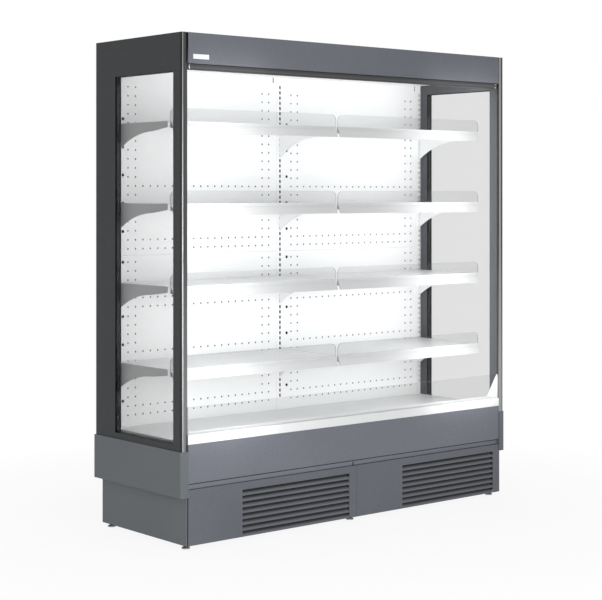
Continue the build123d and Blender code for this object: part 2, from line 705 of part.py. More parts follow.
def back_panels(side):
    """The upper and the lower perforated sheet of one module."""
    near = UPRIGHT_WIDE / 2 + PANEL_GAP
    far = MODULE - SEAT_GAP - END_UPRIGHT_WIDE - PANEL_GAP
    x0, x1 = (near, far) if side > 0 else (-far, -near)
    middle = side * MODULE / 2
    upper = block(x0, x1, PANEL_FACE, PANEL_FACE + PANEL_SHEET,
                  PANEL_SEAM + PANEL_GAP / 2, LINING_TOP)
    cuts = panel_holes(middle, LINING_TOP - UPPER_HEAD, PANEL_SEAM, UPPER_FULL)
    heights = [PANEL_SEAM + SOCKET_ABOVE + i * SOCKET_PITCH for i in range(SOCKETS)]
    cuts += socket_holes(middle, heights)
    mark_x = (middle + MODULE / 2) - MARK_ASIDE
    mark_z = LINING_TOP - MARK_HEAD
    cuts.append(block(mark_x - MARK_WIDE / 2, mark_x + MARK_WIDE / 2, PANEL_FACE - PAST,
                      PANEL_FACE + PANEL_SHEET + PAST, mark_z, mark_z + MARK_TALL))
    line = [(PANEL_FACE - LEDGE, LEDGE_TOP), (PANEL_FACE, LEDGE_TOP),
            (PANEL_FACE, PANEL_SEAM - PANEL_GAP / 2)]
    lower = along_x(folded(line, PANEL_SHEET), x0, x1)
    first = PANEL_SEAM - LOWER_HEAD
    lower_cuts = panel_holes(middle, first, DECK_TOP, LOWER_FULL)
    heights = [PANEL_SEAM - SOCKET_BELOW - i * SOCKET_PITCH for i in range(SOCKETS)]
    lower_cuts += socket_holes(middle, heights + [first])
    return [upper - cuts, lower - lower_cuts]


# Shelves
def deck_level(row):
    """Top of the decks in a row of shelves, counted up from 0."""
    slot = LOWEST_SLOT + row * SHELF_STEP
    return SLOT_LOW + slot * SLOT_PITCH + HOOK_DROP


def bracket(x, level, inward):
    """One hooked bracket from x to x + its sheet, its flange turned inward (1 or -1)."""
    back = UPRIGHT_FACE - BRACKET_BACK_GAP
    neck_low = level - HOOK_DROP - SLOT_TALL / 2 + SEAT_GAP
    neck_top = neck_low + HOOK_TALL
    start = (x, BRACKET_CURVE, level - BRACKET_WAIST)
    heel = (x, back, level - BRACKET_HEEL)
    edge = Polyline(heel, (x, back, neck_low), (x, back - BRACKET_LEAN, level),
                    (x, BRACKET_FRONT, level), (x, BRACKET_FRONT, level - BRACKET_NOSE), start)
    curve = TangentArc(start, heel, tangent=(0, 1, 0))
    plate = extrude(make_face(edge + curve), amount=BRACKET_SHEET, dir=(1, 0, 0))
    behind = UPRIGHT_FACE + SHEET
    tip = behind + HOOK_REACH
    root = back - HOOK_ROOT
    hook = [(root, neck_low), (behind + HOOK_CLEAR, neck_low),
            (tip - HOOK_NOSE, neck_low - HOOK_DIP), (tip, neck_low - HOOK_DIP),
            (tip, neck_top - HOOK_CORNER), (tip - HOOK_CORNER, neck_top), (root, neck_top)]
    plate += along_x(hook, x, x + BRACKET_SHEET)
    lug_z = level - HOOK_DROP - LUG_PITCHES * SLOT_PITCH
    plate += block(x, x + BRACKET_SHEET, root, behind + LUG_REACH, lug_z - HOOK_TALL / 2,
                   lug_z + HOOK_TALL / 2)
    top = level - DECK_SHEET
    near = x if inward > 0 else x + BRACKET_SHEET - BRACKET_FLANGE
    y0, y1 = BRACKET_FRONT + FLANGE_END, SHELF_BACK - FLANGE_END
    plate += block(near, near + BRACKET_FLANGE, y0, y1, top - BRACKET_SHEET, top)
    return plate - block(near, near + BRACKET_FLANGE, y0, y1, top, level + PAST)


def shelf(row):
    """Deck and two brackets of one right-hand shelf."""
    level = deck_level(row)
    x0 = SHELF_START + BRACKET_SHEET + SEAT_GAP
    x1 = SHELF_END - BRACKET_SHEET - SEAT_GAP
    line = [(SHELF_FRONT, level - SHELF_FOLD), (SHELF_FRONT, level), (SHELF_BACK, level),
            (SHELF_BACK, level - SHELF_BACK_FOLD)]
    deck = along_x(folded(line, DECK_SHEET), x0, x1)
    return [deck, bracket(SHELF_START, level, 1), bracket(SHELF_END - BRACKET_SHEET, level, -1)]


def shelf_front(row):
    """Clear ticket rail and clear stop of one right-hand shelf."""
    level = deck_level(row)
    x0, x1 = SHELF_START + RAIL_INSET, SHELF_END - RAIL_INSET
    front = SHELF_FRONT - RAIL_REACH
    floor = level - RAIL_DROP
    web = SHELF_FRONT - RAIL_SHEET
    rail = block(x0, x1, web, SHELF_FRONT, level - RAIL_SHEET - WEB_TALL, level - RAIL_SHEET)
    rail += block(x0, x1, front, web, floor - RAIL_SHEET, floor)
    rail += block(x0, x1, front, front + RAIL_SHEET, floor - RAIL_SHEET, floor + RAIL_LIP)
    foot = front + RAIL_SHEET - TICKET_LEAN
    pocket = [(front + RAIL_SHEET, floor), (foot, floor - TICKET_TALL),
              (foot - TICKET_GAP, floor - TICKET_TALL),
              (front - TICKET_GAP + RAIL_SHEET, floor - TICKET_STEP)]
    rail += along_x(folded(pocket, RAIL_SHEET), x0, x1)
    stop_y = front + RAIL_SHEET + SEAT_GAP
    stop = block(SHELF_START + STOP_INSET, MODULE - STOP_END, stop_y, stop_y + STOP_SHEET,
                 floor, level + STOP_TOP)
    corners = stop.edges().filter_by(Axis.Y).group_by(Axis.Z)[-1]
    return [rail, fillet(corners, STOP_CORNER)]


# Canopy
def fascia():
    line = [(FASCIA_RETURN, FASCIA_LOW), (0, FASCIA_LOW), (0, HEIGHT), (ROOF_FRONT, HEIGHT)]
    end = MODULE - PANEL_GAP
    return along_x(folded(line, SHEET), -end, end)


def ceiling():
    """Liner under the air duct, with the opening for the air outlet."""
    line = [(UPRIGHT_FACE - SEAT_GAP, CEILING_LOW), (ROOF_FRONT, CEILING_LOW),
            (ROOF_FRONT, ROOF_LOW)]
    end = MODULE - SEAT_GAP
    outlet = MODULE - OUTLET_END
    liner = along_x(folded(line, SHEET), -end, end)
    return liner - block(-outlet, outlet, OUTLET_FRONT, OUTLET_BACK,
                         CEILING_LOW - PAST, CEILING_LOW + SHEET + PAST)


def honeycomb():
    """Air straightener in the outlet."""
    end = MODULE - OUTLET_END - SEAT_GAP
    y0, y1 = OUTLET_FRONT + SEAT_GAP, OUTLET_BACK - SEAT_GAP
    count = int((2 * end - COMB_PITCH) / COMB_PITCH)
    first = -(count - 1) * COMB_PITCH / 2
    row_pitch = (y1 - y0) / COMB_ROWS
    half = COMB_CELL / 2
    deep = (row_pitch - COMB_WALL) / 2
    cells = []
    for row in range(COMB_ROWS):
        y = y0 + (row + 0.5) * row_pitch
        for i in range(count):
            x = first + i * COMB_PITCH
            cells.append(block(x - half, x + half, y - deep, y + deep,
                               CEILING_LOW - PAST, CEILING_LOW + COMB_TALL + PAST))
    return block(-end, end, y0, y1, CEILING_LOW, CEILING_LOW + COMB_TALL) - cells


def lamp():
    """Aluminium housing on the ceiling's upstand, and its lens."""
    end = MODULE - LAMP_END
    y0 = ROOF_FRONT - LAMP_WIDE
    housing = block(-end, end, y0, ROOF_FRONT, LAMP_LOW, LAMP_LOW + LAMP_TALL)
    lens = block(-end, end, y0 + LENS_INSET, ROOF_FRONT - LENS_INSET,
                 LAMP_LOW - LAMP_LENS, LAMP_LOW)
    return [housing, chamfer(lens.edges().filter_by(Axis.X).group_by(Axis.Z)[0], LENS_INSET)]


def blind_bracket():
    reach = ROLLER_RADIUS + WOUND + BLIND_BRACKET_LAP
    plate = block(MODULE - BLIND_BRACKET, MODULE, ROLLER_Y - reach, ROLLER_Y + reach,
                  ROLLER_Z - reach, ROLLER_Z + reach)
    return plate - rod_x(ROLLER_Y, ROLLER_Z, ROLLER_PIN + SHAFT_GAP,
                         MODULE - BLIND_BRACKET - PAST, MODULE + PAST)


def blind_roller():
    """Tube with its end pins, and the blind wound on it."""
    end = MODULE - ROLLER_END
    tube = rod_x(ROLLER_Y, ROLLER_Z, ROLLER_RADIUS, -end, end)
    tip = MODULE - PANEL_GAP
    tube += rod_x(ROLLER_Y, ROLLER_Z, ROLLER_PIN, -tip, tip)
    cloth_end = MODULE - BLIND_END
    wound = rod_x(ROLLER_Y, ROLLER_Z, ROLLER_RADIUS + WOUND, -cloth_end, cloth_end)
    return [tube, wound - rod_x(ROLLER_Y, ROLLER_Z, ROLLER_RADIUS, -end, end)]


def blind_fabric():
    """The cloth that hangs from the roller to the bar at rest."""
    end = MODULE - BLIND_END
    low = BAR_LOW + BAR_TALL - BAR_GROOVE + SEAT_GAP
    return block(-end, end, BLIND_Y - BLIND_CLOTH / 2, BLIND_Y + BLIND_CLOTH / 2, low, ROLLER_Z)


def blind_bar():
    """Pull bar with rounded lower edges and a groove for the cloth."""
    end = MODULE - BAR_END
    top = BAR_LOW + BAR_TALL
    bar = block(-end, end, BLIND_Y - BAR_DEEP / 2, BLIND_Y + BAR_DEEP / 2, BAR_LOW, top)
    bar = fillet(bar.edges().filter_by(Axis.X), BAR_EDGE)
    groove = BLIND_CLOTH / 2 + SEAT_GAP
    return bar - block(-end - PAST, end + PAST, BLIND_Y - groove, BLIND_Y + groove,
                       top - BAR_GROOVE, top + PAST)


# Refrigeration
def fan_mount(x, y, z, radius):
    """Ring behind a plate's face, with the bar, motor and shaft of one fan."""
    back = y + SHEET + FAN_RING
    ring = rod_y(x, z, radius + RING_WALL, y, back) - rod_y(x, z, radius, y - PAST, back + PAST)
    bar = block(x - MOTOR_BAR_WIDE / 2, x + MOTOR_BAR_WIDE / 2, back, back + MOTOR_BAR,
                z - radius - RING_WALL, z + radius + RING_WALL)
    motor = rod_y(x, z, MOTOR_RADIUS, back + MOTOR_BAR, back + MOTOR_BAR + MOTOR_LONG)
    return ring + bar + motor + rod_y(x, z, SHAFT_RADIUS, y, back + MOTOR_BAR)


def fan(x, y, z, radius):
    """Hub and blades, running inside the ring of a plate whose face is at y."""
    root = HUB_RADIUS - BLADE_ROOT
    tip = radius - FAN_TIP_GAP
    blade = Rot(BLADE_PITCH, 0, 0) * Box(tip - root, BLADE_WIDE, BLADE_SHEET)
    blade = Pos((root + tip) / 2, 0, 0) * blade
    blades = [Rot(0, 0, 360 / BLADES * i) * blade for i in range(BLADES)]
    rotor = Cylinder(HUB_RADIUS, HUB_LONG) + blades
    rotor -= Cylinder(SHAFT_RADIUS + SHAFT_GAP, HUB_LONG + 2 * PAST)
    return Pos(x, y + SHEET + FAN_RING / 2, z) * Rot(90, 0, 0) * rotor


def fan_plate():
    end = MODULE - 2 * PANEL_GAP
    top = DECK_TOP - DECK_SHEET - SEAT_GAP
    line = [(FAN_PLATE_Y, TUB_TOP), (FAN_PLATE_Y, top), (FAN_PLATE_Y + FAN_PLATE_FOLD, top)]
    plate = along_x(folded(line, SHEET), -end, end)
    for x in (-MODULE / 2, MODULE / 2):
        plate -= rod_y(x, FAN_Z, FAN_HOLE, FAN_PLATE_Y - PAST, FAN_PLATE_Y + SHEET + PAST)
        plate += fan_mount(x, FAN_PLATE_Y, FAN_Z, FAN_HOLE)
    notch = MODULE - DECK_END - DECK_SHEET - SEAT_GAP
    for x0, x1 in ((-MODULE, -notch), (notch, MODULE)):
        plate -= block(x0, x1, FAN_PLATE_Y - PAST, FAN_PLATE_Y + FAN_PLATE_FOLD + PAST,
                       DECK_TOP - DECK_FOLD - SEAT_GAP, DECK_TOP)
    return plate


def fin_block(x0, x1, y0, y1, z0, z1, pitch):
    """Upright fins on a plate, with the air passing along Y."""
    low = z0 + FIN_PLATE
    count = int((x1 - x0 - FIN) / pitch)
    first = (x0 + x1 - (count - 1) * pitch - FIN) / 2
    outline = [(x0, z0), (x0, low)]
    for i in range(count):
        x = first + i * pitch
        outline += [(x, low), (x, z1), (x + FIN, z1), (x + FIN, low)]
    return along_y(outline + [(x1, low), (x1, z0)], y0, y1)


def evaporator():
    """Finned block between two end plates that stand on the tub's floor."""
    z0 = TUB_TOP + COIL_LIFT
    core = fin_block(-COIL_HALF, COIL_HALF, COIL_FRONT, COIL_BACK, z0, z0 + COIL_TALL, COIL_PITCH)
    plate = block(COIL_HALF, COIL_HALF + FRAME_SHEET, COIL_FRONT - COIL_PLATE_LAP,
                  COIL_BACK + COIL_PLATE_LAP, TUB_TOP, z0 + COIL_TALL + COIL_PLATE_LAP)
    return [core] + both_sides(plate)


def condenser():
    """Finned block, side plates on the bay's floor, and the fan shroud behind."""
    x0, x1 = CONDENSER_X - CONDENSER_WIDE / 2, CONDENSER_X + CONDENSER_WIDE / 2
    y0, y1 = CONDENSER_FRONT, CONDENSER_FRONT + CONDENSER_DEEP
    z0 = FLOOR_TOP + COIL_LIFT
    z1 = z0 + CONDENSER_TALL
    middle = (z0 + z1) / 2
    shroud = block(x0 - SHEET, x1 + SHEET, y1, y1 + SHEET, FLOOR_TOP, z1)
    shroud -= rod_y(CONDENSER_X, middle, CONDENSER_FAN_HOLE, y1 - PAST, y1 + SHEET + PAST)
    shroud += fan_mount(CONDENSER_X, y1, middle, CONDENSER_FAN_HOLE)
    return [fin_block(x0, x1, y0, y1, z0, z1, CONDENSER_PITCH), shroud,
            block(x0 - SHEET, x0, y0, y1, FLOOR_TOP, z1),
            block(x1, x1 + SHEET, y0, y1, FLOOR_TOP, z1)]


def condenser_fan():
    y1 = CONDENSER_FRONT + CONDENSER_DEEP
    middle = FLOOR_TOP + COIL_LIFT + CONDENSER_TALL / 2
    return fan(CONDENSER_X, y1, middle, CONDENSER_FAN_HOLE)


def compressor():
    """Welded can on a foot plate and four rubber grommets."""
    plate_z = FLOOR_TOP + GROMMET
    can_low = plate_z + FOOT_PLATE
    can = rod_z(COMPRESSOR_X, COMPRESSOR_Y, COMPRESSOR_RADIUS, can_low, can_low + COMPRESSOR_TALL)
    can = fillet(can.edges().group_by(Axis.Z)[-1], CAN_EDGE)
    reach = COMPRESSOR_RADIUS + FOOT_PLATE_LAP
    can += block(COMPRESSOR_X - reach, COMPRESSOR_X + reach, COMPRESSOR_Y - reach,
                 COMPRESSOR_Y + reach, plate_z, can_low)
    can += block(COMPRESSOR_X - TERMINAL_WIDE / 2, COMPRESSOR_X + TERMINAL_WIDE / 2,
                 COMPRESSOR_Y - COMPRESSOR_RADIUS - TERMINAL_OUT, COMPRESSOR_Y,
                 plate_z + TERMINAL_LOW, plate_z + TERMINAL_LOW + TERMINAL_TALL)
    aside = reach - GROMMET_INSET
    feet = [rod_z(COMPRESSOR_X + sx * aside, COMPRESSOR_Y + sy * aside, GROMMET,
                  FLOOR_TOP, plate_z) for sx in (-1, 1) for sy in (-1, 1)]
    return [can] + feet


def pipe(*points):
    """A copper pipe through the points, with round bends."""
    path = FilletPolyline(*points, radius=PIPE_BEND)
    face = Plane(origin=path @ 0, z_dir=path % 0) * Circle(PIPE_RADIUS)
    return sweep(face, path=path)


def refrigerant_pipes():
    """Discharge, suction and liquid lines, and the drain from the tub."""
    x0, x1 = CONDENSER_X - CONDENSER_WIDE / 2, CONDENSER_X + CONDENSER_WIDE / 2
    header_y = CONDENSER_FRONT + CONDENSER_DEEP / 2
    side_x = COMPRESSOR_X + COMPRESSOR_RADIUS
    high = FLOOR_TOP + PIPE_HIGH
    low = FLOOR_TOP + PIPE_LOW
    turn_x = (side_x + x0 - SHEET) / 2
    coil_z = TUB_TOP + COIL_LIFT + COIL_TALL / 2
    discharge = pipe((side_x, COMPRESSOR_Y, high), (turn_x, COMPRESSOR_Y, high),
                     (turn_x, header_y, high), (x0 - SHEET, header_y, high))
    suction = pipe((COMPRESSOR_X, COMPRESSOR_Y + COMPRESSOR_RADIUS, high),
                   (COMPRESSOR_X, RISER_Y, high), (COMPRESSOR_X, RISER_Y, coil_z),
                   (COMPRESSOR_X, COIL_BACK, coil_z))
    liquid = pipe((x1 + SHEET, header_y, low), (LIQUID_X, header_y, low),
                  (LIQUID_X, RISER_Y, low), (LIQUID_X, RISER_Y, coil_z),
                  (LIQUID_X, COIL_BACK, coil_z))
    drain_low = FLOOR_TOP + TRAY_TALL + DRAIN_GAP
    drain = rod_z(DRAIN_X, DRAIN_Y, DRAIN_RADIUS, drain_low, TUB_TOP)
    drain -= rod_z(DRAIN_X, DRAIN_Y, DRAIN_BORE, drain_low - PAST, TUB_TOP + PAST)
    return [discharge, suction, liquid, drain]


def drip_tray():
    """Open tray on the bay's floor, under the drain."""
    tray = block(DRAIN_X - TRAY_WIDE / 2, DRAIN_X + TRAY_WIDE / 2, DRAIN_Y - TRAY_DEEP / 2,
                 DRAIN_Y + TRAY_DEEP / 2, FLOOR_TOP, FLOOR_TOP + TRAY_TALL)
    return tray - block(DRAIN_X - TRAY_WIDE / 2 + SHEET, DRAIN_X + TRAY_WIDE / 2 - SHEET,
                        DRAIN_Y - TRAY_DEEP / 2 + SHEET, DRAIN_Y + TRAY_DEEP / 2 - SHEET,
                        FLOOR_TOP + SHEET, FLOOR_TOP + TRAY_TALL + PAST)


def control_box():
    """Electrical box with its lid and two cable glands."""
    x0, x1 = BOX_X - BOX_WIDE / 2, BOX_X + BOX_WIDE / 2
    y0, y1 = BOX_Y - BOX_DEEP / 2, BOX_Y + BOX_DEEP / 2
    top = FLOOR_TOP + BOX_TALL
    case = block(x0, x1, y0, y1, FLOOR_TOP, top)
    lap = BOX_LID_LAP
    lid = block(x0 - lap, x1 + lap, y0 - BOX_LID, y0, FLOOR_TOP + lap, top + lap)
    for x in (BOX_X - GLAND_APART / 2, BOX_X + GLAND_APART / 2):
        case += rod_z(x, BOX_Y, GLAND_RADIUS, top, top + GLAND_TALL)
    return [case, lid]


os.makedirs("parts", exist_ok=True)

feet = [(name_y + "_" + name_x, x, y)
        for name_y, y in zip(("front", "back"), FOOT_YS)
        for name_x, x in (("left", -CROSS_X), ("middle", 0), ("right", CROSS_X))]
for name, x, y in feet:
    save("levelling_foot_" + name, levelling_foot(x, y))

save("base_frame", *base_frame())
save("base_sides", *both_sides(base_side()))
save("kick_panel_left", kick_panel(-1))
save("kick_panel_right", kick_panel(1))
save("tub", tub())
save("rear_wall", rear_wall())
save("roof", roof())
save("end_panel_left", mirror(end_panel(), about=Plane.YZ))
save("end_panel_right", end_panel())
save("end_glazing", *[s for piece in end_glazing() for s in both_sides(piece)])
save("front_profiles", *both_sides(front_profile()))
save("side_bands", *both_sides(side_band()))
save("front_panel", front_panel())
save("front_rail", front_rail())
save("front_glass", front_glass())
save("glass_brackets", *both_sides(glass_bracket()))
save("base_deck_left", base_deck(-1))
save("base_deck_right", base_deck(1))
save("uprights", *uprights())
save("back_panels", *back_panels(-1), *back_panels(1))

for row in range(SHELF_ROWS):
    right_shelf, right_front = shelf(row), shelf_front(row)
    save("shelf_%d_right" % (row + 1), *right_shelf)
    save("shelf_front_%d_right" % (row + 1), *right_front)
    save("shelf_%d_left" % (row + 1), *[mirror(s, about=Plane.YZ) for s in right_shelf])
    save("shelf_front_%d_left" % (row + 1), *[mirror(s, about=Plane.YZ) for s in right_front])

save("fascia", fascia())
save("ceiling", ceiling())
save("honeycomb", honeycomb())
save("lamp", *lamp())
save("blind_brackets", *both_sides(blind_bracket()))
save("blind_roller", *blind_roller())
save("blind_fabric", blind_fabric())
save("blind_bar", blind_bar())
save("fan_plate", fan_plate())
save("evaporator_fan_left", fan(-MODULE / 2, FAN_PLATE_Y, FAN_Z, FAN_HOLE))
save("evaporator_fan_right", fan(MODULE / 2, FAN_PLATE_Y, FAN_Z, FAN_HOLE))
save("evaporator", *evaporator())
save("condenser", *condenser())
save("condenser_fan", condenser_fan())
save("compressor", *compressor())
save("refrigerant_pipes", *refrigerant_pipes())
save("drip_tray", drip_tray())
save("control_box", *control_box())
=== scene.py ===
import math

import bmesh
import bpy
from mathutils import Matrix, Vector


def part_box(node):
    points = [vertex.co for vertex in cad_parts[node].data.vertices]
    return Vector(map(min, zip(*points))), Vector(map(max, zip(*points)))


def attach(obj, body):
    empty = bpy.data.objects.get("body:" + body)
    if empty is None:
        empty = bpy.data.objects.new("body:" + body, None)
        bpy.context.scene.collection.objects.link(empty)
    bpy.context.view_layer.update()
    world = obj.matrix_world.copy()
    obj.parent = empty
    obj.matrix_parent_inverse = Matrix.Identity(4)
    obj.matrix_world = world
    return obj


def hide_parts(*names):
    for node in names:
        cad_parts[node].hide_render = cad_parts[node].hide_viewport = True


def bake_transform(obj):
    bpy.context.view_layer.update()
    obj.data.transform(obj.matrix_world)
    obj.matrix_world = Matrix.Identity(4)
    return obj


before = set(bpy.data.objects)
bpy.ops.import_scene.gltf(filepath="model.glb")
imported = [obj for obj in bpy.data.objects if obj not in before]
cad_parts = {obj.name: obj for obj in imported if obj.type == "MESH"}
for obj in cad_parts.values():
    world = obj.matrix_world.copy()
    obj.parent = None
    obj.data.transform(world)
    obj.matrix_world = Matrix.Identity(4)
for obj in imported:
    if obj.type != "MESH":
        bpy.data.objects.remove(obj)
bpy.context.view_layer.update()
scene = bpy.context.scene


# Base frame and levelling feet
# Folded beams, cross members and posts of zinc-coated sheet steel, bolted at the corners.
# Six turned steel feet screw into bosses in the beams.

def shader(name, colour, roughness, metallic=0.0):
    """A material whose Principled shader holds the even values on its own sockets."""
    material = bpy.data.materials.new(name)
    material.use_nodes = True
    surface = material.node_tree.nodes["Principled BSDF"]
    surface.inputs["Base Color"].default_value = (*colour, 1)
    surface.inputs["Roughness"].default_value = roughness
    surface.inputs["Metallic"].default_value = metallic
    return material, material.node_tree, surface


def object_point(tree):
    return tree.nodes.new("ShaderNodeTexCoord").outputs["Object"]


def axis_of(tree, vector, axis):
    """One component of a vector."""
    parts = tree.nodes.new("ShaderNodeSeparateXYZ")
    tree.links.new(vector, parts.inputs[0])
    return parts.outputs[axis]


def maths(tree, kind, first, second=0.0):
    """A Math node on two sockets or numbers."""
    node = tree.nodes.new("ShaderNodeMath")
    node.operation = kind
    for socket, value in zip(node.inputs, (first, second)):
        if isinstance(value, bpy.types.NodeSocket):
            tree.links.new(value, socket)
        else:
            socket.default_value = value
    return node.outputs[0]


def noise(tree, scale, detail=2.0, stretch=(1, 1, 1)):
    """Noise on Object coordinates, drawn out along an axis where stretch is below 1."""
    mapping = tree.nodes.new("ShaderNodeMapping")
    mapping.inputs["Scale"].default_value = stretch
    tree.links.new(object_point(tree), mapping.inputs["Vector"])
    node = tree.nodes.new("ShaderNodeTexNoise")
    node.inputs["Scale"].default_value = scale
    node.inputs["Detail"].default_value = detail
    tree.links.new(mapping.outputs["Vector"], node.inputs["Vector"])
    return node.outputs["Fac"]


def spread(tree, value, low, high, to_low, to_high):
    """A range of values mapped on to another, and held at its ends."""
    node = tree.nodes.new("ShaderNodeMapRange")
    node.inputs["From Min"].default_value = low
    node.inputs["From Max"].default_value = high
    node.inputs["To Min"].default_value = to_low
    node.inputs["To Max"].default_value = to_high
    tree.links.new(value, node.inputs["Value"])
    return node.outputs["Result"]


def tint(tree, factor, first, second):
    """Two colours mixed by a factor."""
    node = tree.nodes.new("ShaderNodeMix")
    node.data_type = "RGBA"
    tree.links.new(factor, node.inputs["Factor"])
    for socket, colour in ((node.inputs[6], first), (node.inputs[7], second)):
        if isinstance(colour, bpy.types.NodeSocket):
            tree.links.new(colour, socket)
        else:
            socket.default_value = (*colour, 1)
    return node.outputs[2]


def mixed(tree, factor, first, second):
    """Two numbers mixed by a factor."""
    node = tree.nodes.new("ShaderNodeMix")
    tree.links.new(factor, node.inputs["Factor"])
    tree.links.new(first, node.inputs["A"])
    node.inputs["B"].default_value = second
    return node.outputs["Result"]


def raise_bump(tree, surface, height, strength, distance):
    node = tree.nodes.new("ShaderNodeBump")
    node.inputs["Strength"].default_value = strength
    node.inputs["Distance"].default_value = distance
    tree.links.new(height, node.inputs["Height"])
    tree.links.new(node.outputs["Normal"], surface.inputs["Normal"])


def shade(colour, share):
    return [min(1, c * share) for c in colour]


def dress(material, *names):
    """Give CAD nodes a material."""
    for name in names:
        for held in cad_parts[name].material_slots:
            held.material = material


def zinc_coat(name, colour):
    """Spangled zinc with a soft, uneven sheen."""
    material, tree, surface = shader(name, colour, 0.42, 0.85)
    spangle = tree.nodes.new("ShaderNodeTexVoronoi")
    spangle.inputs["Scale"].default_value = 90
    tree.links.new(object_point(tree), spangle.inputs["Vector"])
    tone = spread(tree, spangle.outputs["Color"], 0, 1, 0, 1)
    coat = tint(tree, tone, shade(colour, 0.82), shade(colour, 1.18))
    tree.links.new(coat, surface.inputs["Base Color"])
    tree.links.new(spread(tree, tone, 0, 1, 0.36, 0.52), surface.inputs["Roughness"])
    raise_bump(tree, surface, noise(tree, 260), 0.06, 0.0005)
    return material


SOCKET_KINDS = {float: "NodeSocketFloat", int: "NodeSocketInt", tuple: "NodeSocketVector"}


def geometry_tree(name, **sizes):
    """An empty Geometry Nodes tree with a named input for each size and for the material."""
    tree = bpy.data.node_groups.new(name, "GeometryNodeTree")
    tree.interface.new_socket("Geometry", in_out="INPUT", socket_type="NodeSocketGeometry")
    tree.interface.new_socket("Geometry", in_out="OUTPUT", socket_type="NodeSocketGeometry")
    for label, value in sizes.items():
        kind = SOCKET_KINDS[type(value)]
        tree.interface.new_socket(label, in_out="INPUT", socket_type=kind).default_value = value
    tree.interface.new_socket("material", in_out="INPUT", socket_type="NodeSocketMaterial")
    return tree, tree.nodes.new("NodeGroupInput")


def geometry(tree, kind, links=(), **values):
    """A node of a Geometry Nodes tree: values by socket name, links as (socket, source)."""
    node = tree.nodes.new(kind)
    for label, value in values.items():
        node.inputs[label.replace("_", " ")].default_value = value
    for label, source in links:
        tree.links.new(source, node.inputs[label])
    return node


def close_tree(tree, given, shape):
    """Realize the instances, set the material and hand the mesh out."""
    real = geometry(tree, "GeometryNodeRealizeInstances", [("Geometry", shape)])
    paint = geometry(tree, "GeometryNodeSetMaterial", [
        ("Geometry", real.outputs[0]), ("Material", given.outputs["material"])])
    out = tree.nodes.new("NodeGroupOutput")
    tree.links.new(paint.outputs[0], out.inputs["Geometry"])
    return tree


def plain_mesh(thing):
    """Turn an object's modifiers into its mesh."""
    depsgraph = bpy.context.evaluated_depsgraph_get()
    thing.data = bpy.data.meshes.new_from_object(thing.evaluated_get(depsgraph))
    thing.modifiers.clear()


def settle(thing, body):
    """A new piece rides on its body."""
    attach(thing, body)
    return thing


def grown(name, tree, material, body, slot, points=((0, 0, 0),), facing=(0, 0, 1), **sizes):
    """Run a tree on loose points that face one way, and keep the result as a piece."""
    mesh = bpy.data.meshes.new(name)
    mesh.from_pydata(points, [], [])
    directions = mesh.attributes.new("facing", "FLOAT_VECTOR", "POINT")
    for item in directions.data:
        item.vector = facing
    thing = bpy.data.objects.new(name, mesh)
    scene.collection.objects.link(thing)
    modifier = thing.modifiers.new("shape", "NODES")
    modifier.node_group = tree
    for socket in tree.interface.items_tree:
        if socket.in_out == "INPUT" and socket.name in sizes:
            modifier[socket.identifier] = sizes[socket.name]
        if socket.in_out == "INPUT" and socket.name == "material":
            modifier[socket.identifier] = material
    plain_mesh(thing)
    return settle(thing, body)


def on_points(tree, given, head):
    """Stand a head on each loose point, turned to the way that the point faces."""
    way = geometry(tree, "GeometryNodeInputNamedAttribute", Name="facing")
    way.data_type = "FLOAT_VECTOR"
    turn = geometry(tree, "FunctionNodeAlignRotationToVector", [
        ("Vector", way.outputs["Attribute"])])
    turn.axis = "Z"
    return geometry(tree, "GeometryNodeInstanceOnPoints", [
        ("Points", given.outputs["Geometry"]), ("Instance", head),
        ("Rotation", turn.outputs["Rotation"])]).outputs[0]


def tapered(tree, given, share, sides):
    """A head of the tree's radius and height, with a narrower top."""
    top = maths(tree, "MULTIPLY", given.outputs["radius"], share)
    head = geometry(tree, "GeometryNodeMeshCone", [
        ("Radius Bottom", given.outputs["radius"]), ("Depth", given.outputs["height"]),
        ("Radius Top", top)], Vertices=sides)
    return head.outputs["Mesh"]


BOLT_TAPER = 0.9
WASHER_THICK = 0.0018


def bolt_tree():
    """Hexagon bolt heads on washers."""
    tree, given = geometry_tree("hexagon_bolts", radius=0.0065, height=0.0045, washer=0.0095)
    washer = geometry(tree, "GeometryNodeMeshCylinder", [
        ("Radius", given.outputs["washer"])], Vertices=20, Depth=WASHER_THICK)
    both = geometry(tree, "GeometryNodeJoinGeometry")
    tree.links.new(tapered(tree, given, BOLT_TAPER, 6), both.inputs[0])
    tree.links.new(washer.outputs["Mesh"], both.inputs[0])
    return close_tree(tree, given, on_points(tree, given, both.outputs[0]))


zinc = zinc_coat("zinc_coated_steel", (0.42, 0.43, 0.44))
foot_steel = zinc_coat("foot_steel", (0.3, 0.3, 0.31))
FEET = [row + "_" + place for row in ("front", "back") for place in ("left", "middle", "right")]
dress(zinc, "base_frame")
dress(foot_steel, *["levelling_foot_" + foot for foot in FEET])

hexagon_bolts = bolt_tree()
frame_low, frame_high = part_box("base_frame")
POST_BOLTS = (0.105, 0.165)
BEAM_FRONT = 0.003        # the frame's front face behind the kick panels' bar
post_places = (-0.915, 0, 0.915)
front_bolts = [(x, frame_low.y + BEAM_FRONT, z) for x in post_places for z in POST_BOLTS]
back_bolts = [(x, frame_high.y, z) for x in post_places for z in POST_BOLTS]
grown("frame_bolts_front", hexagon_bolts, foot_steel, "cabinet", "galvanised_steel",
      front_bolts, (0, -1, 0))
grown("frame_bolts_back", hexagon_bolts, foot_steel, "cabinet", "galvanised_steel",
      back_bolts, (0, 1, 0))
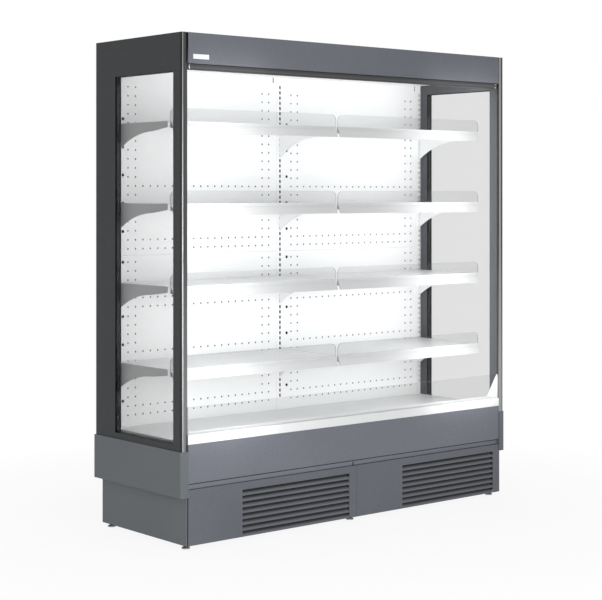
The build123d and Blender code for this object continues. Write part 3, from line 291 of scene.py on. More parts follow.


# Base sides, kick panels, front panel and fascia
# Folded steel sheet with a grey powder coat that holds fine metal flecks. The kick panels
# push on to pins and carry a black dust filter behind their louvres, whose near black also serves
# as painted shade in the openings.

def powder_coat(name, colour, roughness, fleck, metallic=0.2):
    """Powder coat: fine texture, metal flecks and a slow drift of tone."""
    material, tree, surface = shader(name, colour, roughness, metallic)
    drift = spread(tree, noise(tree, 2.2, 1.0), 0.35, 0.65, 0, 1)
    base = tint(tree, drift, shade(colour, 0.96), shade(colour, 1.04))
    mottle = spread(tree, noise(tree, 120, 4.0), 0.3, 0.7, 0, 1)
    base = tint(tree, mottle, tint(tree, drift, shade(colour, 0.88), shade(colour, 0.94)), base)
    grain = spread(tree, noise(tree, 420, 3.0), 0.6, 0.76, 0, fleck)
    tree.links.new(tint(tree, grain, base, shade(colour, 1.9)), surface.inputs["Base Color"])
    rough = spread(tree, noise(tree, 150), 0.3, 0.7, roughness - 0.04, roughness + 0.05)
    tree.links.new(rough, surface.inputs["Roughness"])
    raise_bump(tree, surface, noise(tree, 650), 0.12, 0.0003)
    return material


def filter_cloth(name):
    """Black woven dust filter, near black also as painted shade behind the louvres."""
    material, tree, surface = shader(name, (0.01, 0.01, 0.011), 0.9)
    weave = tree.nodes.new("ShaderNodeTexChecker")
    weave.inputs["Scale"].default_value = 500
    tree.links.new(object_point(tree), weave.inputs["Vector"])
    thread = tint(tree, weave.outputs["Fac"], (0.006, 0.006, 0.007), (0.018, 0.018, 0.02))
    tree.links.new(thread, surface.inputs["Base Color"])
    raise_bump(tree, surface, weave.outputs["Fac"], 0.2, 0.0003)
    return material


def rounded_box(mesh, low, high, edge):
    """Add a box with rounded edges to a bmesh."""
    made = bmesh.ops.create_cube(mesh, size=1)
    for vertex in made["verts"]:
        for axis in range(3):
            middle = (low[axis] + high[axis]) / 2
            vertex.co[axis] = middle + vertex.co[axis] * (high[axis] - low[axis])
    edges = list({e for vertex in made["verts"] for e in vertex.link_edges})
    bmesh.ops.bevel(mesh, geom=edges, offset=edge, segments=2, affect="EDGES")


def from_boxes(name, boxes, material, body, edge=0.0005):
    """One piece made of boxes with rounded edges."""
    shape = bmesh.new()
    for low, high in boxes:
        rounded_box(shape, low, high, edge)
    mesh = bpy.data.meshes.new(name)
    shape.to_mesh(mesh)
    shape.free()
    mesh.materials.append(material)
    thing = bpy.data.objects.new(name, mesh)
    scene.collection.objects.link(thing)
    return settle(thing, body)


def facing_way(tree, axis):
    """How far a face turns to one end of an axis, from -1 to 1."""
    return axis_of(tree, tree.nodes.new("ShaderNodeTexCoord").outputs["Normal"], axis)


def steepness(tree, axis):
    """How squarely a face stands to an axis, from 0 to 1."""
    return maths(tree, "ABSOLUTE", facing_way(tree, axis))


def repaint(material, mask, colour):
    """Another colour where a mask is 1."""
    tree = material.node_tree
    base = tree.nodes["Principled BSDF"].inputs["Base Color"]
    tree.links.new(tint(tree, mask, base.links[0].from_socket, colour), base)


def overlap(tree, first, second):
    """1 where two masks are 1."""
    return maths(tree, "MULTIPLY", first, second)


def within(tree, value, low, high):
    """1 where a value lies between two bounds."""
    above = maths(tree, "GREATER_THAN", value, low)
    return overlap(tree, above, maths(tree, "LESS_THAN", value, high))


CASING = (0.15, 0.159, 0.185)
# Near black for the painted shade in the kick panels' louvres.
PAINTED_SHADE_BLACK = (0.004, 0.004, 0.005)
casing_grey = powder_coat("casing_grey", CASING, 0.5, 0.5)
side_grey = powder_coat("side_grey", (0.145, 0.16, 0.173), 0.5, 0.4)
dress(casing_grey, "fascia")

panel_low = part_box("front_panel")[0]
RECESS_DEPTH = 0.005      # anything farther behind the panel's face is the recess
RECESS_TOP = 0.277
RECESS_SHADE = 0.0065     # height of the painted shadow line under the panel
NOTCH_LEFT = -0.016       # a black notch in the recess where the modules meet
NOTCH_RIGHT = -0.009
NOTCH_HEIGHT = 0.016
# The front panel takes the casing coat lightened, as painted light.
panel_grey = powder_coat("panel_grey", shade(CASING, 1.18), 0.5, 0.5)
tree = panel_grey.node_tree
point = object_point(tree)
height = axis_of(tree, point, "Z")
recessed = maths(tree, "GREATER_THAN", axis_of(tree, point, "Y"), panel_low.y + RECESS_DEPTH)
recessed = overlap(tree, recessed, maths(tree, "LESS_THAN", height, RECESS_TOP))
# The recess face is painted lighter, as painted light against its shade.
repaint(panel_grey, recessed, shade(CASING, 1.3))
# Painted shadow along the top of the recess, under the panel's edge.
painted_shadow_edge = maths(tree, "GREATER_THAN", height, RECESS_TOP - RECESS_SHADE)
repaint(panel_grey, overlap(tree, recessed, painted_shadow_edge), (0.012, 0.012, 0.013))
notch = overlap(tree, within(tree, axis_of(tree, point, "X"), NOTCH_LEFT, NOTCH_RIGHT),
                maths(tree, "LESS_THAN", height, panel_low.z + NOTCH_HEIGHT))
repaint(panel_grey, overlap(tree, recessed, notch), (0.006, 0.006, 0.006))
dress(panel_grey, "front_panel")
dress(side_grey, "base_sides", "side_bands")

kick_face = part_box("kick_panel_left")[0].y
# The kick panels take the casing coat darkened, as painted shade.
kick_grey = powder_coat("kick_grey", shade(CASING, 0.9), 0.5, 0.5)
tree = kick_grey.node_tree
BLADE_SHADE = 0.00096     # painted shade: the louvre blades darken with depth from here to BLADE_BLACK
BLADE_BLACK = 0.00496
FACE_SKIN = 0.0002
# Painted shade that deepens with depth into the louvres.
depth = maths(tree, "SUBTRACT", axis_of(tree, object_point(tree), "Y"), kick_face)
repaint(kick_grey, spread(tree, depth, BLADE_SHADE, BLADE_BLACK, 0, 1), PAINTED_SHADE_BLACK)
# Painted shade on the louvres' ends and the other faces square to X behind the face.
end_on = maths(tree, "GREATER_THAN", steepness(tree, "X"), 0.9)
repaint(kick_grey, overlap(tree, end_on, maths(tree, "GREATER_THAN", depth, FACE_SKIN)), PAINTED_SHADE_BLACK)
dress(kick_grey, "kick_panel_left", "kick_panel_right")

LOUVRE_START = 0.28
LOUVRE_END = 0.04
FILTER_LOW = 0.021
FILTER_TOP = 0.226
FILTER_BEHIND = 0.0105    # behind the kick panel's face
FILTER_THICK = 0.003
# The filter's near black also serves as painted shade in the louvre openings.
dust_filter = filter_cloth("dust_filter")
for side in ("left", "right"):
    low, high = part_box("kick_panel_" + side)
    near = low.y + FILTER_BEHIND
    corners = ((low.x + LOUVRE_START, near, FILTER_LOW),
               (high.x - LOUVRE_END, near + FILTER_THICK, FILTER_TOP))
    from_boxes("dust_filter_" + side, [corners], dust_filter, "kick_panel_" + side)


# Insulated body
# Tub, rear wall and roof are rigid foam between painted steel sheets. The front of the rear
# wall, inside the air duct, is painted near black as shade. A cover strip closes the joint behind.

def enamel(name, colour, roughness):
    """Smooth painted sheet with a faint orange peel."""
    material, tree, surface = shader(name, colour, roughness)
    drift = spread(tree, noise(tree, 1.6, 1.0), 0.35, 0.65, 0, 1)
    coat = tint(tree, drift, shade(colour, 0.98), colour)
    tree.links.new(coat, surface.inputs["Base Color"])
    rough = spread(tree, noise(tree, 40), 0.3, 0.7, roughness - 0.05, roughness + 0.05)
    tree.links.new(rough, surface.inputs["Roughness"])
    raise_bump(tree, surface, noise(tree, 300), 0.05, 0.0004)
    return material


SCREW_TAPER = 0.68
RECESS_WIDE = 0.0009
RECESS_TALL = 0.0024


def screw_tree():
    """Pan-head screws with a cross recess."""
    tree, given = geometry_tree("pan_screws", radius=0.004, height=0.0022)
    arm = geometry(tree, "ShaderNodeCombineXYZ", [("X", given.outputs["radius"])],
                   Y=RECESS_WIDE, Z=RECESS_TALL)
    across = geometry(tree, "ShaderNodeCombineXYZ", [("Y", given.outputs["radius"])],
                      X=RECESS_WIDE, Z=RECESS_TALL)
    up = geometry(tree, "ShaderNodeCombineXYZ", [("Z", given.outputs["height"])])
    recess = geometry(tree, "GeometryNodeMeshBoolean", [
        ("Mesh 1", tapered(tree, given, SCREW_TAPER, 16))])
    for size in (arm, across):
        cutter = geometry(tree, "GeometryNodeMeshCube", [("Size", size.outputs[0])])
        moved = geometry(tree, "GeometryNodeTransform", [
            ("Geometry", cutter.outputs["Mesh"]), ("Translation", up.outputs[0])])
        tree.links.new(moved.outputs[0], recess.inputs["Mesh 2"])
    return close_tree(tree, given, on_points(tree, given, recess.outputs["Mesh"]))


def spaced(start, end, count):
    """Points evenly spaced from start to end."""
    start, end = Vector(start), Vector(end)
    return [tuple(start.lerp(end, i / (count - 1))) for i in range(count)]


body_paint = enamel("body_paint", (0.62, 0.63, 0.64), 0.45)
dress(body_paint, "tub", "roof")
wall_low, wall_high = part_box("rear_wall")
wall_paint = enamel("wall_paint", (0.62, 0.63, 0.64), 0.45)
tree = wall_paint.node_tree
DUCT_SIDE = 0.9           # the painted shade in the duct ends here at either side
DUCT_SHADE_SKIN = 0.001
point = object_point(tree)
duct_shade_mask = maths(tree, "LESS_THAN", axis_of(tree, point, "Y"), wall_low.y + DUCT_SHADE_SKIN)
inboard = within(tree, axis_of(tree, point, "X"), -DUCT_SIDE, DUCT_SIDE)
duct_shade_mask = overlap(tree, duct_shade_mask, inboard)
# Painted shade: the front of the rear wall inside the duct is near black.
repaint(wall_paint, duct_shade_mask, (0.006, 0.006, 0.007))
dress(wall_paint, "rear_wall")

pan_screws = screw_tree()
roof_low, roof_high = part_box("roof")
STRIP_HALF = 0.022
STRIP_THICK = 0.0015
ROOF_STRIP_IN = 0.02      # from the roof's front edge
ROOF_STRIP_LOW = 0.0004
ROOF_STRIP_TOP = 0.0001   # both under the roof's top
strip_body = zinc_coat("cover_strip", (0.5, 0.51, 0.52))
from_boxes("joint_strips", [
    ((-STRIP_HALF, wall_high.y, wall_low.z), (STRIP_HALF, wall_high.y + STRIP_THICK, wall_high.z)),
    ((-STRIP_HALF, roof_low.y + ROOF_STRIP_IN, roof_high.z - ROOF_STRIP_LOW),
     (STRIP_HALF, roof_high.y, roof_high.z - ROOF_STRIP_TOP))],
    strip_body, "cabinet")
SCREW_IN = 0.03
SCREW_END = 0.9
SCREW_NEAR = STRIP_HALF + 0.012
ROW_NEAR = 0.15
ROW_FAR = 0.75
rear_points = []
for x in (-SCREW_END, -SCREW_NEAR, SCREW_NEAR, SCREW_END):
    rear_points += spaced((x, wall_high.y, wall_low.z + SCREW_IN),
                          (x, wall_high.y, wall_high.z - SCREW_IN), 9)
for z in (wall_low.z + SCREW_IN, wall_high.z - SCREW_IN):
    for start, end in ((-ROW_FAR, -ROW_NEAR), (ROW_NEAR, ROW_FAR)):
        rear_points += spaced((start, wall_high.y, z), (end, wall_high.y, z), 5)
grown("rear_wall_screws", pan_screws, zinc, "cabinet", "galvanised_steel",
      rear_points, (0, 1, 0), radius=0.005)


# End panels and their trim
# Each panel is a dark moulded frame round double glazing sealed with black rubber, with a
# bevelled aluminium profile on its front edge and a bumper band round its foot.

def brushed(name, colour, roughness, along, metallic=0.95):
    """Metal with fine draw lines along one axis."""
    material, tree, surface = shader(name, colour, roughness, metallic)
    stretch = [0.02 if axis == along else 1 for axis in "XYZ"]
    lines = noise(tree, 700, 2.0, stretch)
    tree.links.new(tint(tree, lines, shade(colour, 0.88), colour), surface.inputs["Base Color"])
    rough = spread(tree, lines, 0.3, 0.7, roughness - 0.07, roughness + 0.07)
    tree.links.new(rough, surface.inputs["Roughness"])
    raise_bump(tree, surface, lines, 0.08, 0.0002)
    return material


def clear_sheet(name, face, alpha, edge, edge_alpha, across, roughness=0.04):
    """Clear sheet whose faces are square to one axis, with stronger cut edges."""
    material, tree, surface = shader(name, face, roughness)
    surface.inputs["IOR"].default_value = 1.5
    cut = maths(tree, "LESS_THAN", steepness(tree, across), 0.5)
    tree.links.new(tint(tree, cut, face, edge), surface.inputs["Base Color"])
    tree.links.new(spread(tree, cut, 0, 1, alpha, edge_alpha), surface.inputs["Alpha"])
    smear = spread(tree, noise(tree, 9, 3.0), 0.4, 0.8, roughness, roughness + 0.04)
    tree.links.new(smear, surface.inputs["Roughness"])
    return material


def rubber(name):
    """Matt black seal."""
    material, tree, surface = shader(name, (0.008, 0.008, 0.009), 0.85)
    surface.inputs["Specular IOR Level"].default_value = 0.15
    dust = spread(tree, noise(tree, 60, 3.0), 0.4, 0.8, 0, 1)
    tree.links.new(tint(tree, dust, (0.007, 0.007, 0.008), (0.01, 0.01, 0.011)),
                   surface.inputs["Base Color"])
    return material


def bead_tree():
    """A round bead that follows a rectangle in the YZ plane."""
    tree, given = geometry_tree("rubber_bead", deep=0.4, tall=1.5, radius=0.0016)
    path = geometry(tree, "GeometryNodeCurvePrimitiveQuadrilateral", [
        ("Width", given.outputs["deep"]), ("Height", given.outputs["tall"])])
    stood = geometry(tree, "GeometryNodeTransform", [("Geometry", path.outputs[0])],
                     Rotation=(math.radians(90), 0, math.radians(90)))
    section = geometry(tree, "GeometryNodeCurvePrimitiveCircle", [
        ("Radius", given.outputs["radius"])], Resolution=8)
    bead = geometry(tree, "GeometryNodeCurveToMesh", [
        ("Curve", stood.outputs[0]), ("Profile Curve", section.outputs[0])])
    placed = geometry(tree, "GeometryNodeInstanceOnPoints", [
        ("Points", given.outputs["Geometry"]), ("Instance", bead.outputs[0])])
    return close_tree(tree, given, placed.outputs[0])


REBATE = 0.0097           # glass edge hidden in the panel
BEAD = 0.0012
pane_low, pane_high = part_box("end_glazing")
window_low = pane_low + Vector((0, REBATE, REBATE))
window_high = pane_high - Vector((0, REBATE, REBATE))

INNER_FACE = 0.938        # the end panels' inner faces lie inside this distance
JAMB_WHITE = -0.949       # the left jamb is white inside this place
panel_dark = powder_coat("panel_dark", (0.047, 0.05, 0.055), 0.55, 0.2, 0.0)
panel_dark.node_tree.nodes["Principled BSDF"].inputs["Specular IOR Level"].default_value = 0.3
tree = panel_dark.node_tree
point = object_point(tree)
place = axis_of(tree, point, "X")
indoors = maths(tree, "LESS_THAN", maths(tree, "ABSOLUTE", place), INNER_FACE)
repaint(panel_dark, indoors, (0.088, 0.092, 0.1))
JAMB_LINE = 0.0006        # of black on the panel's face round the window
across = within(tree, axis_of(tree, point, "Y"), window_low.y - JAMB_LINE,
                window_high.y + JAMB_LINE)
up = within(tree, axis_of(tree, point, "Z"), window_low.z - JAMB_LINE, window_high.z + JAMB_LINE)
jamb = overlap(tree, across, up)
repaint(panel_dark, jamb, (0.012, 0.012, 0.014))
inner = overlap(tree, jamb, within(tree, place, JAMB_WHITE, 0))
repaint(panel_dark, inner, (0.7, 0.71, 0.71))
dress(panel_dark, "end_panel_left", "end_panel_right")


# Bands across the profile's width that carry the painted highlight where a bevel faces left.
INNER_HIGHLIGHT = (0.9445, 0.9512)
OUTER_HIGHLIGHT = (0.9628, 0.9648)
BEVEL_TURN = (-0.95, -0.25)
FLAT_REFLECTION_FADE = (0.45, 1.25)  # heights over which the painted floor reflection on the flat fades out upward
SQUARE = 0.95


def profile_painted_highlights():
    """Satin anodised metal with a dark flat and outer edge, a painted highlight on left-facing
    bevels and a painted floor reflection low on the flat.
    """
    material = brushed("profile_metal", (0.075, 0.075, 0.077), 0.34, "Z", 0.9)
    tree = material.node_tree
    point = object_point(tree)
    out = maths(tree, "ABSOLUTE", axis_of(tree, point, "X"))
    # Painted floor reflection: the flat is lighter low down.
    painted_floor_reflection = spread(tree, axis_of(tree, point, "Z"), *FLAT_REFLECTION_FADE, 0.75, 0)
    repaint(material, painted_floor_reflection, (0.3, 0.3, 0.3))
    # Painted highlight on the bevels that face left.
    painted_highlight = maths(tree, "ADD", within(tree, out, *INNER_HIGHLIGHT), within(tree, out, *OUTER_HIGHLIGHT))
    bevel = within(tree, facing_way(tree, "X"), *BEVEL_TURN)
    repaint(material, overlap(tree, bevel, painted_highlight), (0.34, 0.34, 0.34))
    repaint(material, maths(tree, "GREATER_THAN", steepness(tree, "X"), SQUARE),
            (0.07, 0.072, 0.076))
    repaint(material, maths(tree, "GREATER_THAN", out, OUTER_HIGHLIGHT[1]), (0.022, 0.022, 0.024))
    return material


dress(profile_painted_highlights(), "front_profiles")

end_glass = clear_sheet("end_glass", (0.03, 0.034, 0.034), 0.075, (0.01, 0.01, 0.01), 0.95, "X")
dress(end_glass, "end_glazing")

seal_rubber = rubber("seal_rubber")
rubber_bead = bead_tree()
middle_y = (window_low.y + window_high.y) / 2
middle_z = (window_low.z + window_high.z) / 2
bead_x = pane_high.x + BEAD
PANE_FACES = 1.907        # the distances of the glazing's inner and outer faces added up
inner_bead = PANE_FACES - bead_x
grown("window_seals", rubber_bead, seal_rubber, "cabinet", "black_plastic",
      [(x, middle_y, middle_z) for x in (-bead_x, bead_x, -inner_bead, inner_bead)],
      deep=window_high.y - window_low.y - BEAD, tall=window_high.z - window_low.z - BEAD,
      radius=BEAD)


# Rear lining
# Slotted uprights and perforated sheets, all in white powder coat, in front of the air
# duct. Their backs, inboard of the duct's sides, are painted near black as shade.

def lined(name, colour, roughness, behind):
    """White coat in front, and painted shade (near black) behind a plane across Y."""
    material = enamel(name, colour, roughness)
    tree = material.node_tree
    point = object_point(tree)
    back = maths(tree, "GREATER_THAN", axis_of(tree, point, "Y"), behind)
    inboard = within(tree, axis_of(tree, point, "X"), -DUCT_SIDE, DUCT_SIDE)
    # Painted shade: near black on the backs inside the duct.
    repaint(material, overlap(tree, back, inboard), (0.015, 0.015, 0.015))
    return material


UPRIGHT_SHEET = 0.0018
white_sheet = enamel("white_sheet", (0.87, 0.88, 0.88), 0.4)
upright_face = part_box("uprights")[0].y
lining_white = lined("lining_white", (0.87, 0.88, 0.88), 0.4, upright_face + UPRIGHT_SHEET)
dress(lining_white, "uprights", "back_panels")
dress(white_sheet, "ceiling", "fan_plate", "front_rail")

upright_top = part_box("uprights")[1].z
LINING_SCREW = 0.03       # under the uprights' tops
SCREW_ASIDE = 0.012
grown("lining_screws", pan_screws, white_sheet, "cabinet", "white_sheet",
      [(x, upright_face, upright_top - LINING_SCREW) for x in (-SCREW_ASIDE, SCREW_ASIDE)],
      (0, -1, 0), radius=0.0035)


# Base decks
# Loose trays of folded sheet, resting on the front rail and the fan plate.

deck_white = enamel("deck_white", (0.86, 0.87, 0.87), 0.35)
dress(deck_white, "base_deck_left", "base_deck_right")


# Shelves
# Folded white decks on hooked brackets, with a clear extruded ticket rail and a clear stop.

SHELVES = ["%d_%s" % (level, side) for level in (1, 2, 3, 4) for side in ("left", "right")]
shelf_white = enamel("shelf_white", (0.84, 0.85, 0.86), 0.35)


DECK_SKIN = 0.0005
STOP_SHARE = 0.3          # of the shelf pitch, from a deck's top up, taken by the stop
RAIL_ALPHA = 0.82


def shelf_plastic():
    """Clear ticket rail under each deck, and above it a clear stop with dark cut edges."""
    material = clear_sheet("shelf_plastic", (0.06, 0.065, 0.07), 0.085,
                           (0.05, 0.052, 0.055), 0.8, "Y", 0.06)
    tree = material.node_tree
    levels = [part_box("shelf_%d_left" % level)[1].z for level in (1, 2)]
    pitch = levels[1] - levels[0]
    height = axis_of(tree, object_point(tree), "Z")
    above = maths(tree, "SUBTRACT", height, levels[0] + DECK_SKIN)
    place = maths(tree, "FLOORED_MODULO", above, pitch)
    rail = maths(tree, "GREATER_THAN", place, STOP_SHARE * pitch)
    repaint(material, rail, (0.5, 0.505, 0.51))
    alpha = tree.nodes["Principled BSDF"].inputs["Alpha"]
    tree.links.new(mixed(tree, rail, alpha.links[0].from_socket, RAIL_ALPHA), alpha)
    return material


clear_plastic = shelf_plastic()
dress(shelf_white, *["shelf_" + shelf for shelf in SHELVES])
dress(clear_plastic, *["shelf_front_" + shelf for shelf in SHELVES])


# Front glass
# One toughened pane in the front rail, between triangular white end brackets.

white_plastic = enamel("white_plastic", (0.89, 0.9, 0.9), 0.35)
front_glass = clear_sheet("front_glass", (0.05, 0.055, 0.055), 0.07,
                          (0.3, 0.33, 0.32), 0.6, "Y", 0.03)
dress(front_glass, "front_glass")
dress(white_plastic, "glass_brackets")


# Canopy
# The fascia carries a bare white plate. Behind it are the lamp, the air outlet with its
# honeycomb, and the night blind on its roller with a dark pull bar.

def comb_tree():
    """Hexagon cells in staggered rows, each a thin-walled ring of the comb's height."""
    tree, given = geometry_tree("hexagon_comb", columns=180, rows=6, pitch=0.01, radius=0.0055,
                                wall=0.0004, height=0.014)
    cell = geometry(tree, "GeometryNodeCurvePrimitiveCircle", [
        ("Radius", given.outputs["radius"])], Resolution=6)
    turned = geometry(tree, "GeometryNodeTransform", [("Geometry", cell.outputs[0])],
                      Rotation=(0, 0, math.radians(30)))
    section = geometry(tree, "GeometryNodeCurvePrimitiveQuadrilateral", [
        ("Width", given.outputs["wall"]), ("Height", given.outputs["height"])])
    ring = geometry(tree, "GeometryNodeCurveToMesh", [
        ("Curve", turned.outputs[0]), ("Profile Curve", section.outputs[0])])
    row_pitch = maths(tree, "MULTIPLY", given.outputs["pitch"], math.sqrt(3) / 2)
    gaps = [maths(tree, "SUBTRACT", given.outputs[label], 1.0) for label in ("columns", "rows")]
    sizes = [maths(tree, "MULTIPLY", gaps[0], given.outputs["pitch"]),
             maths(tree, "MULTIPLY", gaps[1], row_pitch)]
    field = geometry(tree, "GeometryNodeMeshGrid", [
        ("Size X", sizes[0]), ("Size Y", sizes[1]), ("Vertices X", given.outputs["columns"]),
        ("Vertices Y", given.outputs["rows"])])
    place = geometry(tree, "GeometryNodeInputPosition")
    row = maths(tree, "ROUND", maths(tree, "DIVIDE", maths(
        tree, "ADD", axis_of(tree, place.outputs[0], "Y"),
        maths(tree, "DIVIDE", sizes[1], 2.0)), row_pitch))
    odd = maths(tree, "MODULO", row, 2.0)
    aside = maths(tree, "MULTIPLY", maths(tree, "SUBTRACT", odd, 0.5),
                  maths(tree, "MULTIPLY", given.outputs["pitch"], 0.5))
    offset = geometry(tree, "ShaderNodeCombineXYZ", [("X", aside)])
    moved = geometry(tree, "GeometryNodeSetPosition", [
        ("Geometry", field.outputs["Mesh"]), ("Offset", offset.outputs[0])])
    cells = geometry(tree, "GeometryNodeInstanceOnPoints", [
        ("Points", moved.outputs[0]), ("Instance", ring.outputs[0])])
    placed = geometry(tree, "GeometryNodeInstanceOnPoints", [
        ("Points", given.outputs["Geometry"]), ("Instance", cells.outputs[0])])
    return close_tree(tree, given, placed.outputs[0])


comb_low, comb_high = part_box("honeycomb")
COMB_PITCH = 0.0095
COMB_ROWS = 6
comb_columns = int((comb_high.x - comb_low.x - COMB_PITCH) / COMB_PITCH)
comb_plastic = enamel("comb_plastic", (0.55, 0.56, 0.57), 0.5)
comb_cells = grown("honeycomb_cells", comb_tree(), comb_plastic, "cabinet", "white_plastic",
                   [tuple((comb_low + comb_high) / 2)], columns=comb_columns, rows=COMB_ROWS,
                   pitch=COMB_PITCH, radius=COMB_PITCH / math.sqrt(3),
                   height=comb_high.z - comb_low.z)
COMB_FRAME = 0.0015
from_boxes("honeycomb_frame", [
    (comb_low, (comb_high.x, comb_low.y + COMB_FRAME, comb_high.z)),
    ((comb_low.x, comb_high.y - COMB_FRAME, comb_low.z), comb_high),
    (comb_low, (comb_low.x + COMB_FRAME, comb_high.y, comb_high.z)),
    ((comb_high.x - COMB_FRAME, comb_low.y, comb_low.z), comb_high)],
    comb_plastic, "cabinet", 0.0003)
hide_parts("honeycomb")

fascia_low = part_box("fascia")[0]
PLATE_LEFT = -0.912
PLATE_WIDE = 0.082
PLATE_LOW = 2.041
PLATE_TALL = 0.02
PLATE_THICK = 0.0012
plate_white = enamel("plate_white", (0.8, 0.81, 0.82), 0.4)
from_boxes("bare_plate", [((PLATE_LEFT, fascia_low.y - PLATE_THICK, PLATE_LOW),
                           (PLATE_LEFT + PLATE_WIDE, fascia_low.y + PLATE_THICK / 4,
                            PLATE_LOW + PLATE_TALL))],
           plate_white, "cabinet")

bar_low, bar_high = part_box("blind_bar")
blind_metal = brushed("blind_metal", (0.055, 0.055, 0.057), 0.45, "X", 0.3)
tree = blind_metal.node_tree
BAND_LOW = 0.007          # a lighter band along the bar, up from its underside
BAND_TOP = 0.015
band = within(tree, axis_of(tree, object_point(tree), "Z"), bar_low.z + BAND_LOW,
              bar_low.z + BAND_TOP)
repaint(blind_metal, band, (0.075, 0.075, 0.078))
dress(blind_metal, "blind_bar")
roller_metal = brushed("roller_metal", (0.5, 0.5, 0.51), 0.4, "X")
dress(roller_metal, "blind_roller")
dress(white_plastic, "lamp", "blind_brackets")


HOOK_WIRE = 0.0016
HOOK_BENDS = [(0.004, 0.002, 0.005), (-0.002, -0.004, 0.008), (-0.003, -0.004, 0.018),
              (0.001, 0.002, 0.0235)]
HOOK_IN = 0.008
STUD_HIGH = 0.021
STUD_LOW = 0.0055


def hook_line(name, x, material):
    """A bent wire hook on the front of the pull bar."""
    curve = bpy.data.curves.new(name, "CURVE")
    curve.dimensions = "3D"
    curve.bevel_depth = HOOK_WIRE
    curve.bevel_resolution = 3
    curve.use_fill_caps = True
    line = curve.splines.new("BEZIER")
    points = [(x + aside, bar_low.y + back, bar_low.z + up) for aside, back, up in HOOK_BENDS]
    line.bezier_points.add(len(points) - 1)
    for point, place in zip(line.bezier_points, points):
        point.co = place
        point.handle_left_type = point.handle_right_type = "AUTO"
    thing = bpy.data.objects.new(name, curve)
    scene.collection.objects.link(thing)
    mesh = bpy.data.meshes.new_from_object(thing)
    bpy.data.objects.remove(thing)
    mesh.materials.clear()
    mesh.materials.append(material)
    hook = bpy.data.objects.new(name, mesh)
    scene.collection.objects.link(hook)
    return settle(hook, "blind_bar")


hook_line("blind_hook_left", bar_low.x + HOOK_IN, white_plastic)
grown("blind_bar_studs", pan_screws, white_plastic, "blind_bar", "white_plastic",
      [(bar_high.x - HOOK_IN, bar_low.y, bar_low.z + STUD_HIGH),
       (bar_high.x - 1.5 * HOOK_IN, bar_low.y, bar_low.z + STUD_LOW)], (0, -1, 0), radius=0.0025)


def woven(name, colour):
    """Coated blind cloth."""
    material, tree, surface = shader(name, colour, 0.75)
    surface.inputs["Sheen Weight"].default_value = 0.15
    weave = tree.nodes.new("ShaderNodeTexChecker")
    weave.inputs["Scale"].default_value = 900
    tree.links.new(object_point(tree), weave.inputs["Vector"])
    cloth = tint(tree, weave.outputs["Fac"], colour, shade(colour, 0.9))
    tree.links.new(cloth, surface.inputs["Base Color"])
    raise_bump(tree, surface, weave.outputs["Fac"], 0.15, 0.0002)
    return material


blind_cloth = woven("blind_cloth", (0.62, 0.63, 0.64))
low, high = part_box("blind_fabric")
cloth_y = (low.y + high.y) / 2
mesh = bpy.data.meshes.new("blind_cloth_strip")
COLUMNS, ROWS = 24, 12
points = []
for j in range(ROWS + 1):
    for i in range(COLUMNS + 1):
        x = low.x + (high.x - low.x) * i / COLUMNS
        z = low.z + (high.z - low.z) * j / ROWS
        points.append((x, cloth_y, z))
quads = []
for j in range(ROWS):
    for i in range(COLUMNS):
        a = j * (COLUMNS + 1) + i
        quads.append((a, a + 1, a + COLUMNS + 2, a + COLUMNS + 1))
mesh.from_pydata(points, [], quads)
cloth_strip = bpy.data.objects.new("blind_cloth_strip", mesh)
scene.collection.objects.link(cloth_strip)
thicken = cloth_strip.modifiers.new("cloth", "SOLIDIFY")
thicken.thickness = high.y - low.y
thicken.offset = 0
plain_mesh(cloth_strip)
cloth_strip.data.materials.append(blind_cloth)
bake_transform(cloth_strip)
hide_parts("blind_fabric")


# Refrigeration
# Fans behind wire guards, finned coils on copper tubes, the compressor, copper pipes, the
# control box and the drip tray.

SPOKE_REACH = 1.06
SPOKE_LIFT = 0.002


def guard_tree():
    """A flat wire guard: rings on two crossed wires, facing along Z."""
    tree, given = geometry_tree("wire_guard", radius=0.06, rings=6, wire=0.001)
    step = maths(tree, "DIVIDE", given.outputs["radius"], given.outputs["rings"])
    ring = geometry(tree, "GeometryNodeCurvePrimitiveCircle", [("Radius", step)], Resolution=48)
    places = geometry(tree, "GeometryNodeMeshLine", [("Count", given.outputs["rings"])],
                      Offset=(0, 0, 0))
    index = geometry(tree, "GeometryNodeInputIndex")
    size = maths(tree, "ADD", index.outputs[0], 1.0)
    rings = geometry(tree, "GeometryNodeInstanceOnPoints", [
        ("Points", places.outputs[0]), ("Instance", ring.outputs[0]), ("Scale", size)])
    both = geometry(tree, "GeometryNodeJoinGeometry")
    tree.links.new(rings.outputs[0], both.inputs[0])
    reach = maths(tree, "MULTIPLY", given.outputs["radius"], SPOKE_REACH)
    for axis in ("X", "Y"):
        ends = []
        for way in (-1.0, 1.0):
            out = maths(tree, "MULTIPLY", reach, way)
            end = geometry(tree, "ShaderNodeCombineXYZ", [(axis, out)], Z=SPOKE_LIFT)
            ends.append(end.outputs[0])
        spoke = geometry(tree, "GeometryNodeCurvePrimitiveLine", [
            ("Start", ends[0]), ("End", ends[1])])
        tree.links.new(spoke.outputs[0], both.inputs[0])
    lines = geometry(tree, "GeometryNodeRealizeInstances", [("Geometry", both.outputs[0])])
    section = geometry(tree, "GeometryNodeCurvePrimitiveCircle", [
        ("Radius", given.outputs["wire"])], Resolution=6)
    wires = geometry(tree, "GeometryNodeCurveToMesh", [
        ("Curve", lines.outputs[0]), ("Profile Curve", section.outputs[0])])
    wires.inputs["Fill Caps"].default_value = True
    return close_tree(tree, given, on_points(tree, given, wires.outputs[0]))


